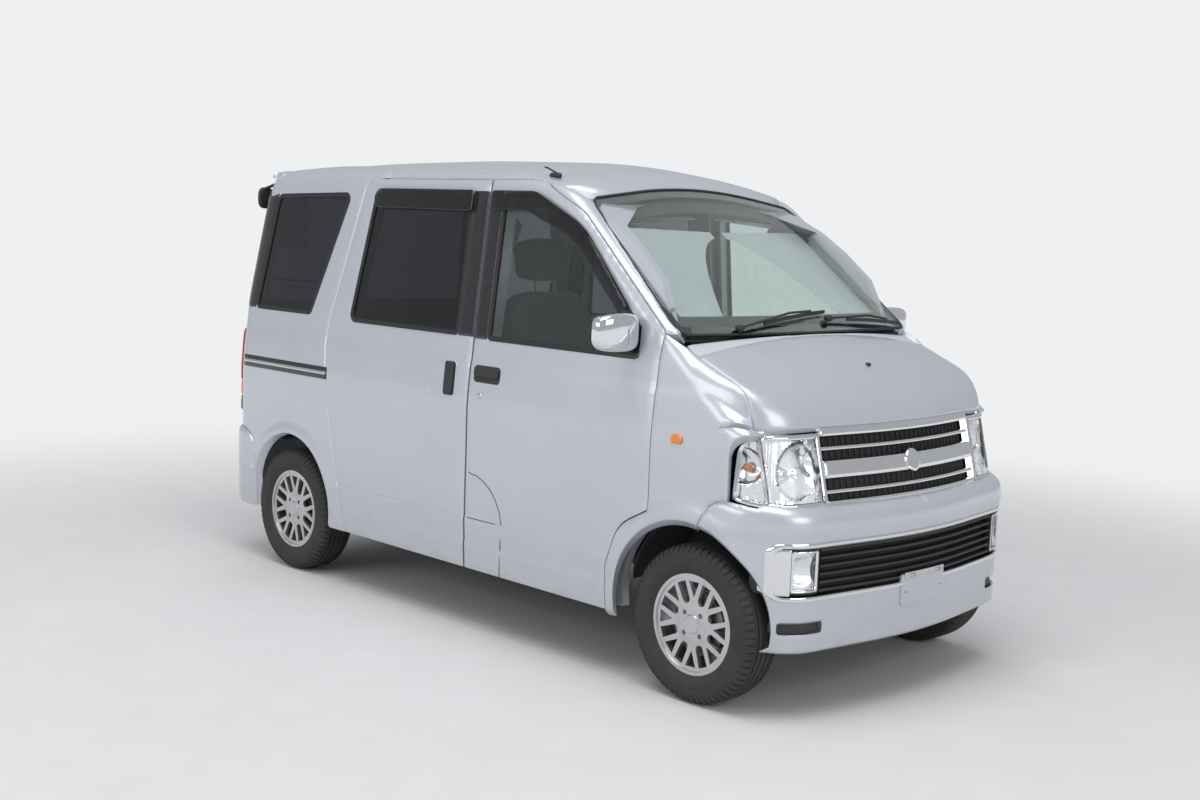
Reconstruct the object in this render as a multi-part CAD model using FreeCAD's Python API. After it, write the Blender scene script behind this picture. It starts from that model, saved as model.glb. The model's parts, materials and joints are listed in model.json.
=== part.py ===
import FreeCAD, Part
import math
import os

# Kei car: a small one-and-a-half-box microvan with two hinged front doors,
# two sliding side doors, a short bonnet and a lifting tailgate.
# Millimetres. +X is the front of the car, +Y its left side, +Z up.
# The origin is on the ground under the middle of the car.

V = FreeCAD.Vector
os.makedirs("parts", exist_ok=True)

# Driving dimensions
LENGTH = 3395.0
WIDTH = 1475.0
HEIGHT = 1855.0
WHEELBASE = 2420.0
FRONT_AXLE_X = 1250.0
TRACK = 1290.0
TYRE_RADIUS = 272.5
TYRE_WIDTH = 165.0
RIM_RADIUS = 170.0
SILL_Z = 240.0
BELT_Z = 1150.0
ROOF_EDGE_Z = HEIGHT - 60.0
DOOR_WALL = 55.0
BODY_WALL = 95.0
ROOF_WALL = 35.0
BONNET_WALL = 26.0
BUMPER_WALL = 14.0
GLASS = 5.0
OPEN_BOTTOM = 60.0
GLASS_SINK = 2.5
DOOR_GAP = 5.0
SEAT_GAP = 0.3
FRONT_ARCH_RADIUS = 328.0
REAR_ARCH_RADIUS = 303.0
STEER_AXIS_LEAN = 67.0 / 297.0

DOOR_HINGE = (1003.0, 727.0)
DOOR_HINGE_Z = (700.0, 900.0)
HINGE_PIN = 5.0
PIN_CLEARANCE = 0.3
BONNET_HINGE = (1130.0, 1215.0)
BONNET_HINGE_Y = 200.0
TAILGATE_HINGE = (-1400.0, 1815.0)
TAILGATE_HINGE_Y = 260.0

PLATE_HOLE_Y = 105.0
PLATE_HOLE_Z = 385.0
PLATE_HOLE_RADIUS = 3.5

HALF_LENGTH = LENGTH / 2
HALF_WIDTH = WIDTH / 2
REAR_AXLE_X = FRONT_AXLE_X - WHEELBASE
WHEEL_Y = TRACK / 2
AXLE_Z = TYRE_RADIUS
FRONT_ARCH = (FRONT_AXLE_X - 26, AXLE_Z + 28)
REAR_ARCH = (REAR_AXLE_X + 5, AXLE_Z + 42)
FAR = 2600.0
CRUMB = 50.0


# Outlines and prisms

def place(plane, a, b, c):
    """Point with in-plane coordinates a, b and offset c across the plane."""
    if plane == "XZ":
        return V(a, c, b)
    if plane == "XY":
        return V(a, b, c)
    return V(c, a, b)


def corner_arc(before, corner, after, radius):
    """Start, middle and end of the arc that rounds one corner."""
    one = (V(*before) - V(*corner)).normalize()
    two = (V(*after) - V(*corner)).normalize()
    half = one.getAngle(two) / 2
    reach = radius / math.tan(half)
    middle = (one + two).normalize()
    centre = V(*corner) + middle * (radius / math.sin(half))
    return V(*corner) + one * reach, centre - middle * radius, V(*corner) + two * reach


def outline(rows, plane="XZ", offset=0.0):
    """Closed wire from rows of a, b and corner radius."""
    flat = []
    count = len(rows)
    for i, row in enumerate(rows):
        before = rows[i - 1]
        after = rows[(i + 1) % count]
        if row[2] > 0:
            arc = corner_arc((before[0], before[1], 0), (row[0], row[1], 0),
                             (after[0], after[1], 0), row[2])
            flat.append(arc)
        else:
            flat.append((V(row[0], row[1], 0),))
    edges = []
    for i, item in enumerate(flat):
        points = [place(plane, p.x, p.y, offset) for p in item]
        if len(points) == 3:
            edges.append(Part.Arc(*points).toShape())
        start = points[-1]
        follow = flat[(i + 1) % count][0]
        end = place(plane, follow.x, follow.y, offset)
        if start.distanceToPoint(end) > 0.001:
            edges.append(Part.LineSegment(start, end).toShape())
    return Part.Wire(edges)


def inset(rows, amount):
    """The same outline with every side moved inwards."""
    area = sum(rows[i - 1][0] * rows[i][1] - rows[i][0] * rows[i - 1][1] for i in range(len(rows)))
    turn = 1 if area > 0 else -1
    result = []
    count = len(rows)
    for i, row in enumerate(rows):
        before = rows[i - 1]
        after = rows[(i + 1) % count]
        d1 = V(row[0] - before[0], row[1] - before[1], 0).normalize()
        d2 = V(after[0] - row[0], after[1] - row[1], 0).normalize()
        n1 = V(-d1.y, d1.x, 0) * turn
        n2 = V(-d2.y, d2.x, 0) * turn
        bend = (d1.x * d2.y - d1.y * d2.x) * turn
        shift = (n1 + n2) * (amount / (1 + n1.dot(n2)))
        radius = row[2] - amount if bend > 0 else row[2] + amount
        radius = max(radius, 2.0) if row[2] > 0 else 0
        result.append((row[0] + shift.x, row[1] + shift.y, radius))
    return result


def prism(rows, plane, low, high):
    """Solid between two offsets, with the outline's rows as its section."""
    face = Part.Face(outline(rows, plane, low))
    return face.extrude(place(plane, 0, 0, high - low))


def slanted(rows, plane, low, run):
    """Prism along any direction."""
    return Part.Face(outline(rows, plane, low)).extrude(run)


def box(x0, x1, y0, y1, z0, z1):
    return Part.makeBox(x1 - x0, y1 - y0, z1 - z0, V(x0, y0, z0))


def drum(x, z, radius, y0, y1):
    """Cylinder along Y."""
    return Part.makeCylinder(radius, y1 - y0, V(x, y0, z), V(0, 1, 0))


def upright(x, y, radius, z0, z1):
    """Cylinder along Z."""
    return Part.makeCylinder(radius, z1 - z0, V(x, y, z0), V(0, 0, 1))


def rod(start, end, radius):
    """Round bar from point to point."""
    a = V(*start)
    b = V(*end)
    return Part.makeCylinder(radius, (b - a).Length, a, b - a)


def union(shapes):
    shapes = list(shapes)
    return shapes[0].multiFuse(shapes[1:]).removeSplitter() if len(shapes) > 1 else shapes[0]


def minus(shape, tools):
    for tool in tools:
        shape = shape.cut(tool)
    return shape


def mirrored(shape):
    return shape.mirror(V(0, 0, 0), V(0, 1, 0))


def both(shape):
    """A piece and its mirror image."""
    return Part.makeCompound([shape, mirrored(shape)])


def largest(shape):
    """The biggest solid of a shape."""
    return max(shape.Solids, key=lambda solid: solid.Volume)


def polar(shape, count, first=0.0):
    """Copies of a shape turned about X."""
    result = []
    for i in range(count):
        copy = shape.copy()
        copy.rotate(V(0, 0, 0), V(1, 0, 0), first + 360.0 * i / count)
        result.append(copy)
    return result


def save(name, shape):
    """Write one node, without the crumbs that a cut leaves."""
    solids = [solid for solid in shape.Solids if solid.Volume > CRUMB]
    kept = solids[0] if len(solids) == 1 else Part.makeCompound(solids)
    kept.exportStep("parts/" + name + ".step")
    print(name, len(solids), "solids", round(kept.Volume / 1e6, 2), "litres", flush=True)


# Body form

# Upright section of the body: half width, height, corner radius
SECTION = [
    (-HALF_WIDTH + 15, SILL_Z, 12), (-HALF_WIDTH, SILL_Z + 230, 700),
    (-HALF_WIDTH, SILL_Z + 640, 700), (-712, BELT_Z, 500), (-636, ROOF_EDGE_Z, 90),
    (0, HEIGHT + 28, 2938),
    (636, ROOF_EDGE_Z, 90), (712, BELT_Z, 500), (HALF_WIDTH, SILL_Z + 640, 700),
    (HALF_WIDTH, SILL_Z + 230, 700), (HALF_WIDTH - 15, SILL_Z, 12),
]

# Side profile of the glasshouse: x, z, corner radius
GLASSHOUSE_PROFILE = [
    (-1658, 1100, 0), (-1652, 1180, 500), (-1553, 1828, 60), (-450, 1872, 9000), (150, 1848, 2500),
    (466, 1802, 320), (1345.4, 1100, 0),
]
WINDSHIELD_SLOPE = math.atan2(1802 - 1100, 1345.4 - 466)
# Side profile of the lower body
BONNET_REAR = (1172.0, 1240.0)
BONNET_KNEE = (1455.0, 1120.0)
LOWER_PROFILE = [
    (-1656, SILL_Z - 4, 0), (-1656, 1100, 0), (1000, 1100, 0), (1000, 1313, 0),
    (BONNET_KNEE[0], BONNET_KNEE[1], 240), (1570, 985, 60), (1700, 480, 0), (1700, SILL_Z - 4, 0),
]
BONNET_SLOPE = math.atan2(BONNET_REAR[1] - BONNET_KNEE[1], BONNET_KNEE[0] - BONNET_REAR[0])
BONNET_CROWN = 4200.0
GLASS_CROWN = 5500.0
# Nose plan: x behind the foremost point, half width, corner radius
NOSE_PLAN = [(-17, 0, 2100), (72, 630, 170), (254, HALF_WIDTH + 1.5, 200)]
NOSE_LEAN = -0.25
NOSE_BASE_Z = 712.0
NOSE_STEP = 55.0
REAR_FACE_X = -HALF_LENGTH + 42


def mirror_rows(rows):
    """Rows from the middle outwards, completed on the other side."""
    return rows + [(a, -b, r) for a, b, r in reversed(rows) if b]


def nose_rows(front_x):
    """Plan outline of the nose, closed far behind it."""
    rows = [(front_x - back, half, r) for back, half, r in NOSE_PLAN]
    return mirror_rows(rows + [(-FAR, HALF_WIDTH + 1.5, 0)])


def crowned(point, slope, depth, crown):
    """Prism that falls forwards at a slope, crowned across the car, through a point of its top."""
    half = 900.0
    rise = half * half / (2 * crown)
    rows = [(-half, -3 * FAR, 0), (-half, -rise, 0), (half, -rise, 0), (half, -3 * FAR, 0)]
    corners = [V(0, y, z) for y, z, r in rows]
    edges = [Part.LineSegment(corners[0], corners[1]).toShape(),
             Part.Arc(corners[1], V(0, 0, 0), corners[2]).toShape(),
             Part.LineSegment(corners[2], corners[3]).toShape(),
             Part.LineSegment(corners[3], corners[0]).toShape()]
    solid = Part.Face(Part.Wire(edges)).extrude(V(4 * FAR, 0, 0))
    solid.translate(V(-3 * FAR, 0, -depth))
    solid.rotate(V(0, 0, 0), V(0, 1, 0), math.degrees(slope))
    solid.translate(V(point[0], 0, point[1]))
    return solid


def hull(depth, roof_depth):
    """Sides, roof and tail of the body without windshield and bonnet, moved inwards by depth."""
    section = inset(SECTION, depth)
    section = [(y, z + (depth - roof_depth) if z > BELT_Z + 150 else z, r) for y, z, r in section]
    if depth:
        section[0] = (section[0][0], SILL_Z - OPEN_BOTTOM, section[0][2])
        section[-1] = (section[-1][0], SILL_Z - OPEN_BOTTOM, section[-1][2])
    main = prism(section, "YZ", -1760, 1760)
    rear = [(REAR_FACE_X - 10, 0, 3600), (REAR_FACE_X + 24, HALF_WIDTH + 1.5, 120),
            (FAR, HALF_WIDTH + 1.5, 0)]
    return main.common(prism(inset(mirror_rows(rear), depth), "XY", 0, FAR))


def form(depth, roof_depth=None):
    """Closed form of the body, with its walls moved inwards by depth."""
    roof_depth = depth if roof_depth is None else roof_depth
    main = hull(depth, roof_depth)
    profile = inset(GLASSHOUSE_PROFILE, depth)
    profile = [(x, z + (depth - roof_depth) if z > BELT_Z + 150 else z, r) for x, z, r in profile]
    profile[0] = (profile[0][0], 1100, 0)
    profile[-1] = (GLASSHOUSE_PROFILE[-1][0] - depth / math.sin(WINDSHIELD_SLOPE), 1100, 0)
    house = main.common(prism(profile, "XZ", -900, 900))
    glass_point = (GLASSHOUSE_PROFILE[-1][0], GLASSHOUSE_PROFILE[-1][1])
    house = house.common(crowned(glass_point, WINDSHIELD_SLOPE, depth, GLASS_CROWN))
    low = inset(LOWER_PROFILE, depth)
    low = [(x, SILL_Z - OPEN_BOTTOM if z < SILL_Z + depth + 1 else z, r) for x, z, r in low]
    low[1] = (low[1][0], 1100, 0)
    low[2] = (1000, 1100, 0)
    low[3] = (1000, low[3][1], 0)
    base = main.common(prism(low, "XZ", -900, 900))
    base = base.common(crowned(BONNET_REAR, BONNET_SLOPE, depth, BONNET_CROWN))
    nose = slanted(nose_rows(HALF_LENGTH - NOSE_STEP - depth), "XY", 0, V(NOSE_LEAN * FAR, 0, FAR))
    nose.translate(V(-NOSE_LEAN * NOSE_BASE_Z, 0, 0))
    base = base.common(nose)
    return base.fuse(house)


OUTER = form(0)
DOOR_INNER = form(DOOR_WALL, ROOF_WALL)
FRAME_OUTER = form(DOOR_WALL + DOOR_GAP, ROOF_WALL)
BODY_INNER = form(BODY_WALL, ROOF_WALL)
GLASS_OUTER = form(GLASS_SINK)
GLASS_INNER = form(GLASS_SINK + GLASS)
THIN_INNER = form(BONNET_WALL)
DOOR_SHELL = OUTER.cut(DOOR_INNER)
SIDE_SHELL = OUTER.cut(hull(DOOR_WALL, ROOF_WALL))
BODY_SHELL = OUTER.cut(BODY_INNER)
FRAME_SHELL = FRAME_OUTER.cut(BODY_INNER)
BONNET_SHELL = OUTER.cut(THIN_INNER)
GLASS_SHELL = GLASS_OUTER.cut(GLASS_INNER)

# Side outlines: x, z, corner radius
FRONT_DOOR = [
    (67, 243, 6), (67, 1757, 8), (330, 1762, 120), (575, 1652, 300), (1060, 1245, 30),
    (1050, 1150, 60), (1048, 634, 4), (905, 560, 160), (850, 400, 120), (856, 243, 6),
]
FRONT_WINDOW = [
    (152, 1152, 16), (152, 1698, 18), (330, 1702, 120), (600, 1585, 330), (925, 1262, 60),
    (944, 1152, 16),
]
SLIDING_DOOR = [
    (62, 243, 6), (62, 1757, 8), (-742, 1757, 60), (-925, 1090, 400), (-888, 800, 300),
    (-788, 420, 200), (-756, 243, 6),
]
SLIDING_WINDOW = [(-38, 1158, 16), (-38, 1702, 18), (-668, 1702, 60), (-757, 1158, 30)]
QUARTER_WINDOW = [(-1062, 1164, 22), (-852, 1690, 26), (-1412, 1676, 40), (-1500, 1164, 24)]


half_gap = DOOR_GAP / 2


def side_prism(rows, gap=0.0):
    """Prism through the right side wall."""
    return prism(inset(rows, gap), "XZ", -900, -540)


def door(rows, window):
    """Door panel of full thickness with its window opening."""
    panel = SIDE_SHELL.common(side_prism(rows, half_gap))
    return panel.cut(side_prism(window))


def pane(rows):
    """Side glass seated in its opening."""
    return GLASS_SHELL.common(side_prism(rows, SEAT_GAP))


arch_front = drum(FRONT_ARCH[0], FRONT_ARCH[1], FRONT_ARCH_RADIUS, -900, -400)
arch_rear = drum(REAR_ARCH[0], REAR_ARCH[1], REAR_ARCH_RADIUS, -900, -480)
ARCHES_FRONT = [arch_front, mirrored(arch_front)]
ARCHES_REAR = [arch_rear, mirrored(arch_rear)]

# Door hinges: pin and plates on the body, barrel and leaf on the door, in a pocket of the door
HINGE_BARREL = 7.5
BARREL_HALF = 7.0
HINGE_PLATE = 8.0
HINGE_HALF = BARREL_HALF + 1 + HINGE_PLATE
SWING_RADII = (73.0, 104.0)
SWING_STEP_Z = 945.0
hinge_x, hinge_y = DOOR_HINGE
front_door = door(FRONT_DOOR, FRONT_WINDOW).cut(arch_front)
hinge_plates = []
for z in DOOR_HINGE_Z:
    pocket = box(hinge_x - 19, hinge_x + 60, -hinge_y - 6, -600, z - 20, z + 20)
    leaf = box(hinge_x - 20, hinge_x, -hinge_y - 4, -hinge_y + 4, z - BARREL_HALF, z + BARREL_HALF)
    barrel = upright(hinge_x, -hinge_y, HINGE_BARREL, z - BARREL_HALF, z + BARREL_HALF).fuse(leaf)
    barrel = barrel.cut(upright(hinge_x, -hinge_y, HINGE_PIN + PIN_CLEARANCE, z - 8, z + 8))
    front_door = front_door.cut(pocket).fuse(barrel)
    hinge_plates.append(upright(hinge_x, -hinge_y, HINGE_PIN, z - HINGE_HALF, z + HINGE_HALF))
    for low in (z - HINGE_HALF, z + HINGE_HALF - HINGE_PLATE):
        hinge_plates.append(box(hinge_x - 5, hinge_x + 5, -hinge_y, -640, low, low + HINGE_PLATE))
front_door = front_door.removeSplitter()
door_swing = union([upright(hinge_x, -hinge_y, SWING_RADII[0], 0, SWING_STEP_Z + 5),
                    upright(hinge_x, -hinge_y, SWING_RADII[1], SWING_STEP_Z - 5, 1290)])
save("front_door_right", front_door)
save("front_door_left", mirrored(front_door))
front_pane = pane(FRONT_WINDOW)
save("front_door_window_right", front_pane)
save("front_door_window_left", mirrored(front_pane))
sliding_door = door(SLIDING_DOOR, SLIDING_WINDOW).cut(arch_rear)
# Pads that carry the closed sliding door on its frame: x, z of the middle
PAD_HALF = 12
for x, z in ((-600, 275), (20, 275), (30, 1000), (-880, 1000)):
    pad = box(x - PAD_HALF, x + PAD_HALF, -700, -640, z - PAD_HALF, z + PAD_HALF)
    sliding_door = sliding_door.fuse(pad.cut(FRAME_OUTER))
sliding_door = sliding_door.removeSplitter()
save("sliding_door_right", sliding_door)
save("sliding_door_left", mirrored(sliding_door))
save("sliding_door_windows", both(pane(SLIDING_WINDOW)))
save("quarter_windows", both(pane(QUARTER_WINDOW)))

# Body shell behind and round the doors
ROOF_EDGE_Y = 612.0
FIREWALL_X = 1040.0
TAILGATE_X = -1545.0
FENDER_Y = 668.0

# Tailgate seam in side view: everything behind it opens
TAILGATE = [(-FAR, 604, 0), (TAILGATE_X - 60, 604, 20), (TAILGATE_X - 60, 1150, 200),
            (-1432, 1790, 20), (-1432, FAR, 0), (-FAR, FAR, 0)]
tailgate_zone = prism(inset(TAILGATE, half_gap), "XZ", -640, 640)
tailgate_cut = prism(inset(TAILGATE, -half_gap), "XZ", -640 - DOOR_GAP, 640 + DOOR_GAP)

quarter_zone = box(-FAR, -730, -900, -ROOF_EDGE_Y, 250, 2000)
quarter = minus(BODY_SHELL.common(quarter_zone),
                [side_prism(SLIDING_DOOR, -half_gap), side_prism(QUARTER_WINDOW), arch_rear, tailgate_cut])
ring_zone = minus(box(-900, FIREWALL_X, -900, -530, 250, 1750),
                  [side_prism(SLIDING_DOOR, 55), side_prism(FRONT_DOOR, 55)])
sill = box(-900, FIREWALL_X, -660, -628, 250, 330)
ring = minus(FRAME_SHELL.common(ring_zone).fuse(sill), [arch_rear, arch_front, door_swing])
rail_zone = minus(box(-760, 640, -900, -ROOF_EDGE_Y, 1740, 2000),
                  [side_prism(SLIDING_DOOR, -half_gap), side_prism(FRONT_DOOR, -half_gap)])
rail = BODY_SHELL.common(rail_zone).cut(box(52, 77, -900, -540, 1700, 1762))
pillar_zone = box(330, 1170, -900, -540, 1240, 2000)
pillar_zone = pillar_zone.cut(side_prism(FRONT_DOOR, -half_gap))
post_top = box(1000, 1112, -660, -600, 1170, 1225).common(FRAME_OUTER).cut(door_swing)
post_top = post_top.fuse(box(1064, 1112, -700, -600, 1195, 1262).common(THIN_INNER))

# Windshield outline on the glass seen from ahead: half width, height, radius
WINDSHIELD = [(-672, 1238, 40), (-580, 1700, 60), (0, 1775, 2600), (580, 1700, 60), (672, 1238, 40)]
windshield_prism = prism(WINDSHIELD, "YZ", 300, 1500)
windshield_seat = prism(inset(WINDSHIELD, SEAT_GAP), "YZ", 300, 1500)
pillar = BODY_SHELL.common(pillar_zone).cut(windshield_prism)
side_body = largest(union([quarter, ring, rail, pillar, post_top] + hinge_plates))

# Roof, with the pins of the tailgate's hinges in two notches of its rear edge
roof_zone = box(-1600, 900, -ROOF_EDGE_Y + SEAT_GAP, ROOF_EDGE_Y - SEAT_GAP, 1640, 2000)
door_cuts = [side_prism(FRONT_DOOR, -half_gap), side_prism(SLIDING_DOOR, -half_gap)]
door_cuts += [mirrored(cut) for cut in door_cuts]
header_zone = box(420, 700, -700, 700, 1640, 2000).fuse(box(-1600, 420, -700, 700, 1745, 2000))
roof = minus(BODY_SHELL.common(roof_zone).common(header_zone),
             [windshield_prism, tailgate_cut, side_body, mirrored(side_body)] + door_cuts)
roof = largest(roof)
gate_x, gate_z = TAILGATE_HINGE
for side in (-1, 1):
    y = side * TAILGATE_HINGE_Y
    roof = roof.cut(box(gate_x - 60, gate_x + 14, y - 15, y + 15, 1600, 1900))
    roof = roof.fuse(drum(gate_x, gate_z, HINGE_PIN, y - 15, y + 15))
save("roof_panel", roof.removeSplitter())

windshield = GLASS_SHELL.common(windshield_seat).common(box(300, 1400, -700, 700, 1200, 1900))
save("windshield", largest(windshield))

# Tailgate with its glass
TAILGATE_WINDOW = [(-600, 1170, 40), (-560, 1690, 50), (560, 1690, 50), (600, 1170, 40)]
tailgate = DOOR_SHELL.common(tailgate_zone)
tailgate = largest(tailgate.cut(prism(TAILGATE_WINDOW, "YZ", -1800, -1400)))
for side in (-1, 1):
    y = side * TAILGATE_HINGE_Y
    arm = drum(gate_x, gate_z, 9, y - 9, y + 9)
    arm = arm.fuse(box(gate_x - 48, gate_x, y - 9, y + 9, gate_z - 16, gate_z - 2))
    tailgate = tailgate.fuse(arm.cut(drum(gate_x, gate_z, HINGE_PIN + PIN_CLEARANCE, y - 10, y + 10)))
save("tailgate", tailgate.removeSplitter())
tail_glass = GLASS_SHELL.common(prism(inset(TAILGATE_WINDOW, SEAT_GAP), "YZ", -1800, -1400))
save("tailgate_window", largest(tail_glass))

# Bonnet, cowl and fenders
COWL_X = 1190.0
BONNET_FRONT_Z = 962.0
bonnet_zone = box(COWL_X + half_gap, 1700, -FENDER_Y + half_gap, FENDER_Y - half_gap, BONNET_FRONT_Z, 1400)
bonnet = largest(BONNET_SHELL.common(bonnet_zone))
# Goose neck from the hinge pin below the cowl to the underside of the bonnet
GOOSE_NECK = [(-7, -2, 0), (4, 7, 0), (50, -47, 0), (66, -16, 0), (86, -18, 0), (68, -66, 0), (44, -66, 0)]
lid_x, lid_z = BONNET_HINGE
neck_rows = [(lid_x + a, lid_z + b, r) for a, b, r in GOOSE_NECK]
for side in (-1, 1):
    y = side * BONNET_HINGE_Y
    ear = drum(lid_x, lid_z, 10, y - 5, y + 5).fuse(prism(neck_rows, "XZ", y - 5, y + 5))
    bonnet = bonnet.fuse(ear.cut(drum(lid_x, lid_z, HINGE_PIN + PIN_CLEARANCE, y - 6, y + 6)))
save("bonnet", bonnet.removeSplitter())
cowl_zone = box(1080, COWL_X - DOOR_GAP, -FENDER_Y + SEAT_GAP, FENDER_Y - SEAT_GAP, 1130, 1300)
cowl = minus(BONNET_SHELL.common(cowl_zone), [windshield_prism, side_body, mirrored(side_body)])
# Slots for the goose necks, each closed behind by a small bridge
for side in (-1, 1):
    y = side * BONNET_HINGE_Y
    cowl = cowl.fuse(box(lid_x - 18, 1170, y - 30, y + 30, lid_z + 14, 1237.5))
    cowl = cowl.cut(box(lid_x + 10, COWL_X, y - 12, y + 12, 1100, 1300))
cowl = largest(cowl)
save("cowl_panel", cowl)

# Head lamp outline from the side and from ahead, and the bumper's upper seam
LAMP_TOP_Z = 940.0
LAMP_LOW_Z = 706.0
LAMP_INNER_Y = 447.0
LAMP_REAR_X = 1405.0
BUMPER_SEAM = [(1260, 590, 0), (1330, 712, 45), (1420, 722, 0), (1800, 722, 0), (1800, 100, 0),
               (1260, 100, 0)]
lamp_zone = box(LAMP_REAR_X, 1800, -900, -LAMP_INNER_Y, LAMP_LOW_Z - 4, LAMP_TOP_Z)
fender_zone = box(840, 1700, -900, -FENDER_Y, 245, 1400)
fender = minus(DOOR_SHELL.common(fender_zone),
               [lamp_zone, arch_front, side_prism(FRONT_DOOR, -half_gap),
                upright(hinge_x, -hinge_y, 18, 600, 640),
                prism(inset(BUMPER_SEAM, -0.5), "XZ", -900, 900), side_body, cowl])
fender = largest(fender)
save("front_fenders", both(fender))
lamp = DOOR_SHELL.common(box(LAMP_REAR_X + SEAT_GAP, 1800, -900, -LAMP_INNER_Y - SEAT_GAP,
                             LAMP_LOW_Z, LAMP_TOP_Z - SEAT_GAP))
lamp = largest(lamp)

# Bumpers
front_bumper_rows = nose_rows(HALF_LENGTH)
BUMPER_TOP_Z = LAMP_LOW_Z - SEAT_GAP
bumper = prism(front_bumper_rows, "XY", 226, BUMPER_TOP_Z)
bumper = bumper.cut(prism(inset(front_bumper_rows, BUMPER_WALL), "XY", 200, BUMPER_TOP_Z - BUMPER_WALL))
bumper = bumper.common(prism(BUMPER_SEAM, "XZ", -900, 900))
GRILLE_LOW = [(-688, 424, 16), (-688, 586, 16), (688, 586, 16), (688, 424, 16)]
SLOT_MIDDLE_Y = 619
SLOT_HALF = 92
slots = [prism([(middle - SLOT_HALF, 300, 8), (middle - SLOT_HALF, 340, 8),
                (middle + SLOT_HALF, 340, 8), (middle + SLOT_HALF, 300, 8)], "YZ", 1400, 1900)
         for middle in (-SLOT_MIDDLE_Y, SLOT_MIDDLE_Y)]
bumper_top_gap = box(1300, 1545, -600, 600, 650, 720)
plate_bracket = box(HALF_LENGTH - 30, HALF_LENGTH, -PLATE_HOLE_Y - 20, PLATE_HOLE_Y + 20, 345, 420)
plate_holes = [Part.makeCylinder(PLATE_HOLE_RADIUS, 60, V(HALF_LENGTH - 50, y, PLATE_HOLE_Z), V(1, 0, 0))
               for y in (-PLATE_HOLE_Y, PLATE_HOLE_Y)]
bumper = minus(bumper.fuse(plate_bracket),
               [prism(GRILLE_LOW, "YZ", 1440, 1900), bumper_top_gap] + ARCHES_FRONT + slots + plate_holes)
bumper = largest(bumper)
save("front_bumper", bumper)

# Lower grille: a backing with slats, and a square fog lamp at each end
SLATS = 6
SLAT_HALF = 4
GRILLE_Z = (424.5, 585.5)
GRILLE_BACK = BUMPER_WALL + 12
grille_seat = inset(GRILLE_LOW, SEAT_GAP)
low_grille = prism(inset(front_bumper_rows, GRILLE_BACK), "XY", *GRILLE_Z)
low_grille = low_grille.cut(prism(inset(front_bumper_rows, GRILLE_BACK + 12), "XY", 400, 600))
low_grille = low_grille.common(prism(grille_seat, "YZ", 1440, 1900))
slat_zone = prism(grille_seat, "YZ", 1500, 1900).common(box(1400, 1900, -516, 516, 300, 700))
for i in range(SLATS):
    z = GRILLE_Z[0] + (GRILLE_Z[1] - GRILLE_Z[0] + 1) / SLATS * (i + 0.5)
    blade = prism(inset(front_bumper_rows, 3), "XY", z - SLAT_HALF, z + SLAT_HALF)
    blade = blade.cut(prism(inset(front_bumper_rows, GRILLE_BACK + 2), "XY", z - 5, z + 5))
    low_grille = low_grille.fuse(blade.common(slat_zone))
FOG_Y = (522.0, 650.0)
FOG_Z = (430.0, 582.0)
fog_zone = box(1400, 1900, -FOG_Y[1], -FOG_Y[0], *FOG_Z)
house_drum = drum(FRONT_ARCH[0], FRONT_ARCH[1], FRONT_ARCH_RADIUS + 13, -900, -380)
HOUSE_DRUMS = [house_drum, mirrored(house_drum)]
low_grille = minus(low_grille, [fog_zone, mirrored(fog_zone)] + HOUSE_DRUMS)
save("lower_grille", largest(low_grille))
fog = box(1400, 1900, -FOG_Y[1] + SEAT_GAP, -FOG_Y[0] - SEAT_GAP, FOG_Z[0] + SEAT_GAP, FOG_Z[1] - SEAT_GAP)
fog = fog.common(prism(inset(front_bumper_rows, 4), "XY", *FOG_Z))
fog = minus(fog, [prism(inset(front_bumper_rows, 40), "XY", 400, 600), house_drum])
save("front_lights", Part.makeCompound([lamp, mirrored(lamp), fog, mirrored(fog)]))

# Rear bumper
rear_rows = [(-HALF_LENGTH - 20, 0, 2600), (-HALF_LENGTH + 30, 660, 110), (-1560, HALF_WIDTH, 140),
             (FAR, HALF_WIDTH, 0), (FAR, -HALF_WIDTH, 0), (-1560, -HALF_WIDTH, 140), (-HALF_LENGTH + 30, -660, 110)]
REAR_SEAM = [(-1440, 240, 0), (-1440, 480, 60), (-1560, 600, 30), (-FAR, 600, 0), (-FAR, 240, 0)]
REAR_TOP_Z = 600.0
rear_bumper = prism(rear_rows, "XY", 250, REAR_TOP_Z)
rear_bumper = rear_bumper.cut(prism(inset(rear_rows, BUMPER_WALL), "XY", 200, REAR_TOP_Z - BUMPER_WALL))
rear_bumper = minus(rear_bumper.common(prism(REAR_SEAM, "XZ", -900, 900)), ARCHES_REAR)

# Upper grille: frame, thick middle bar, thin bars


def nose_band(depth_out, depth_in, z0, z1, half):
    """Slice of the leaning nose between two depths."""
    run = V(NOSE_LEAN * FAR, 0, FAR)
    shift = V(-NOSE_LEAN * NOSE_BASE_Z, 0, 0)
    solids = []
    for depth in (depth_out, depth_in):
        rows = nose_rows(HALF_LENGTH - NOSE_STEP - depth)
        solid = slanted(rows, "XY", 0, run)
        solid.translate(shift)
        solids.append(solid)
    return solids[0].cut(solids[1]).common(box(1300, 1900, -half, half, z0, z1))


GRILLE_HALF = LAMP_INNER_Y + 12
grille = union([
    nose_band(-4, 40, LAMP_LOW_Z, 722, GRILLE_HALF), nose_band(-6, 40, 928, 957, GRILLE_HALF),
    nose_band(-4, 20, 796, 852, GRILLE_HALF), nose_band(4, 20, 746, 756, GRILLE_HALF),
    nose_band(4, 20, 884, 894, GRILLE_HALF), nose_band(16, 30, LAMP_LOW_Z, 956, GRILLE_HALF),
])
save("front_grille", largest(minus(grille, [lamp, mirrored(lamp)])))

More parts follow.
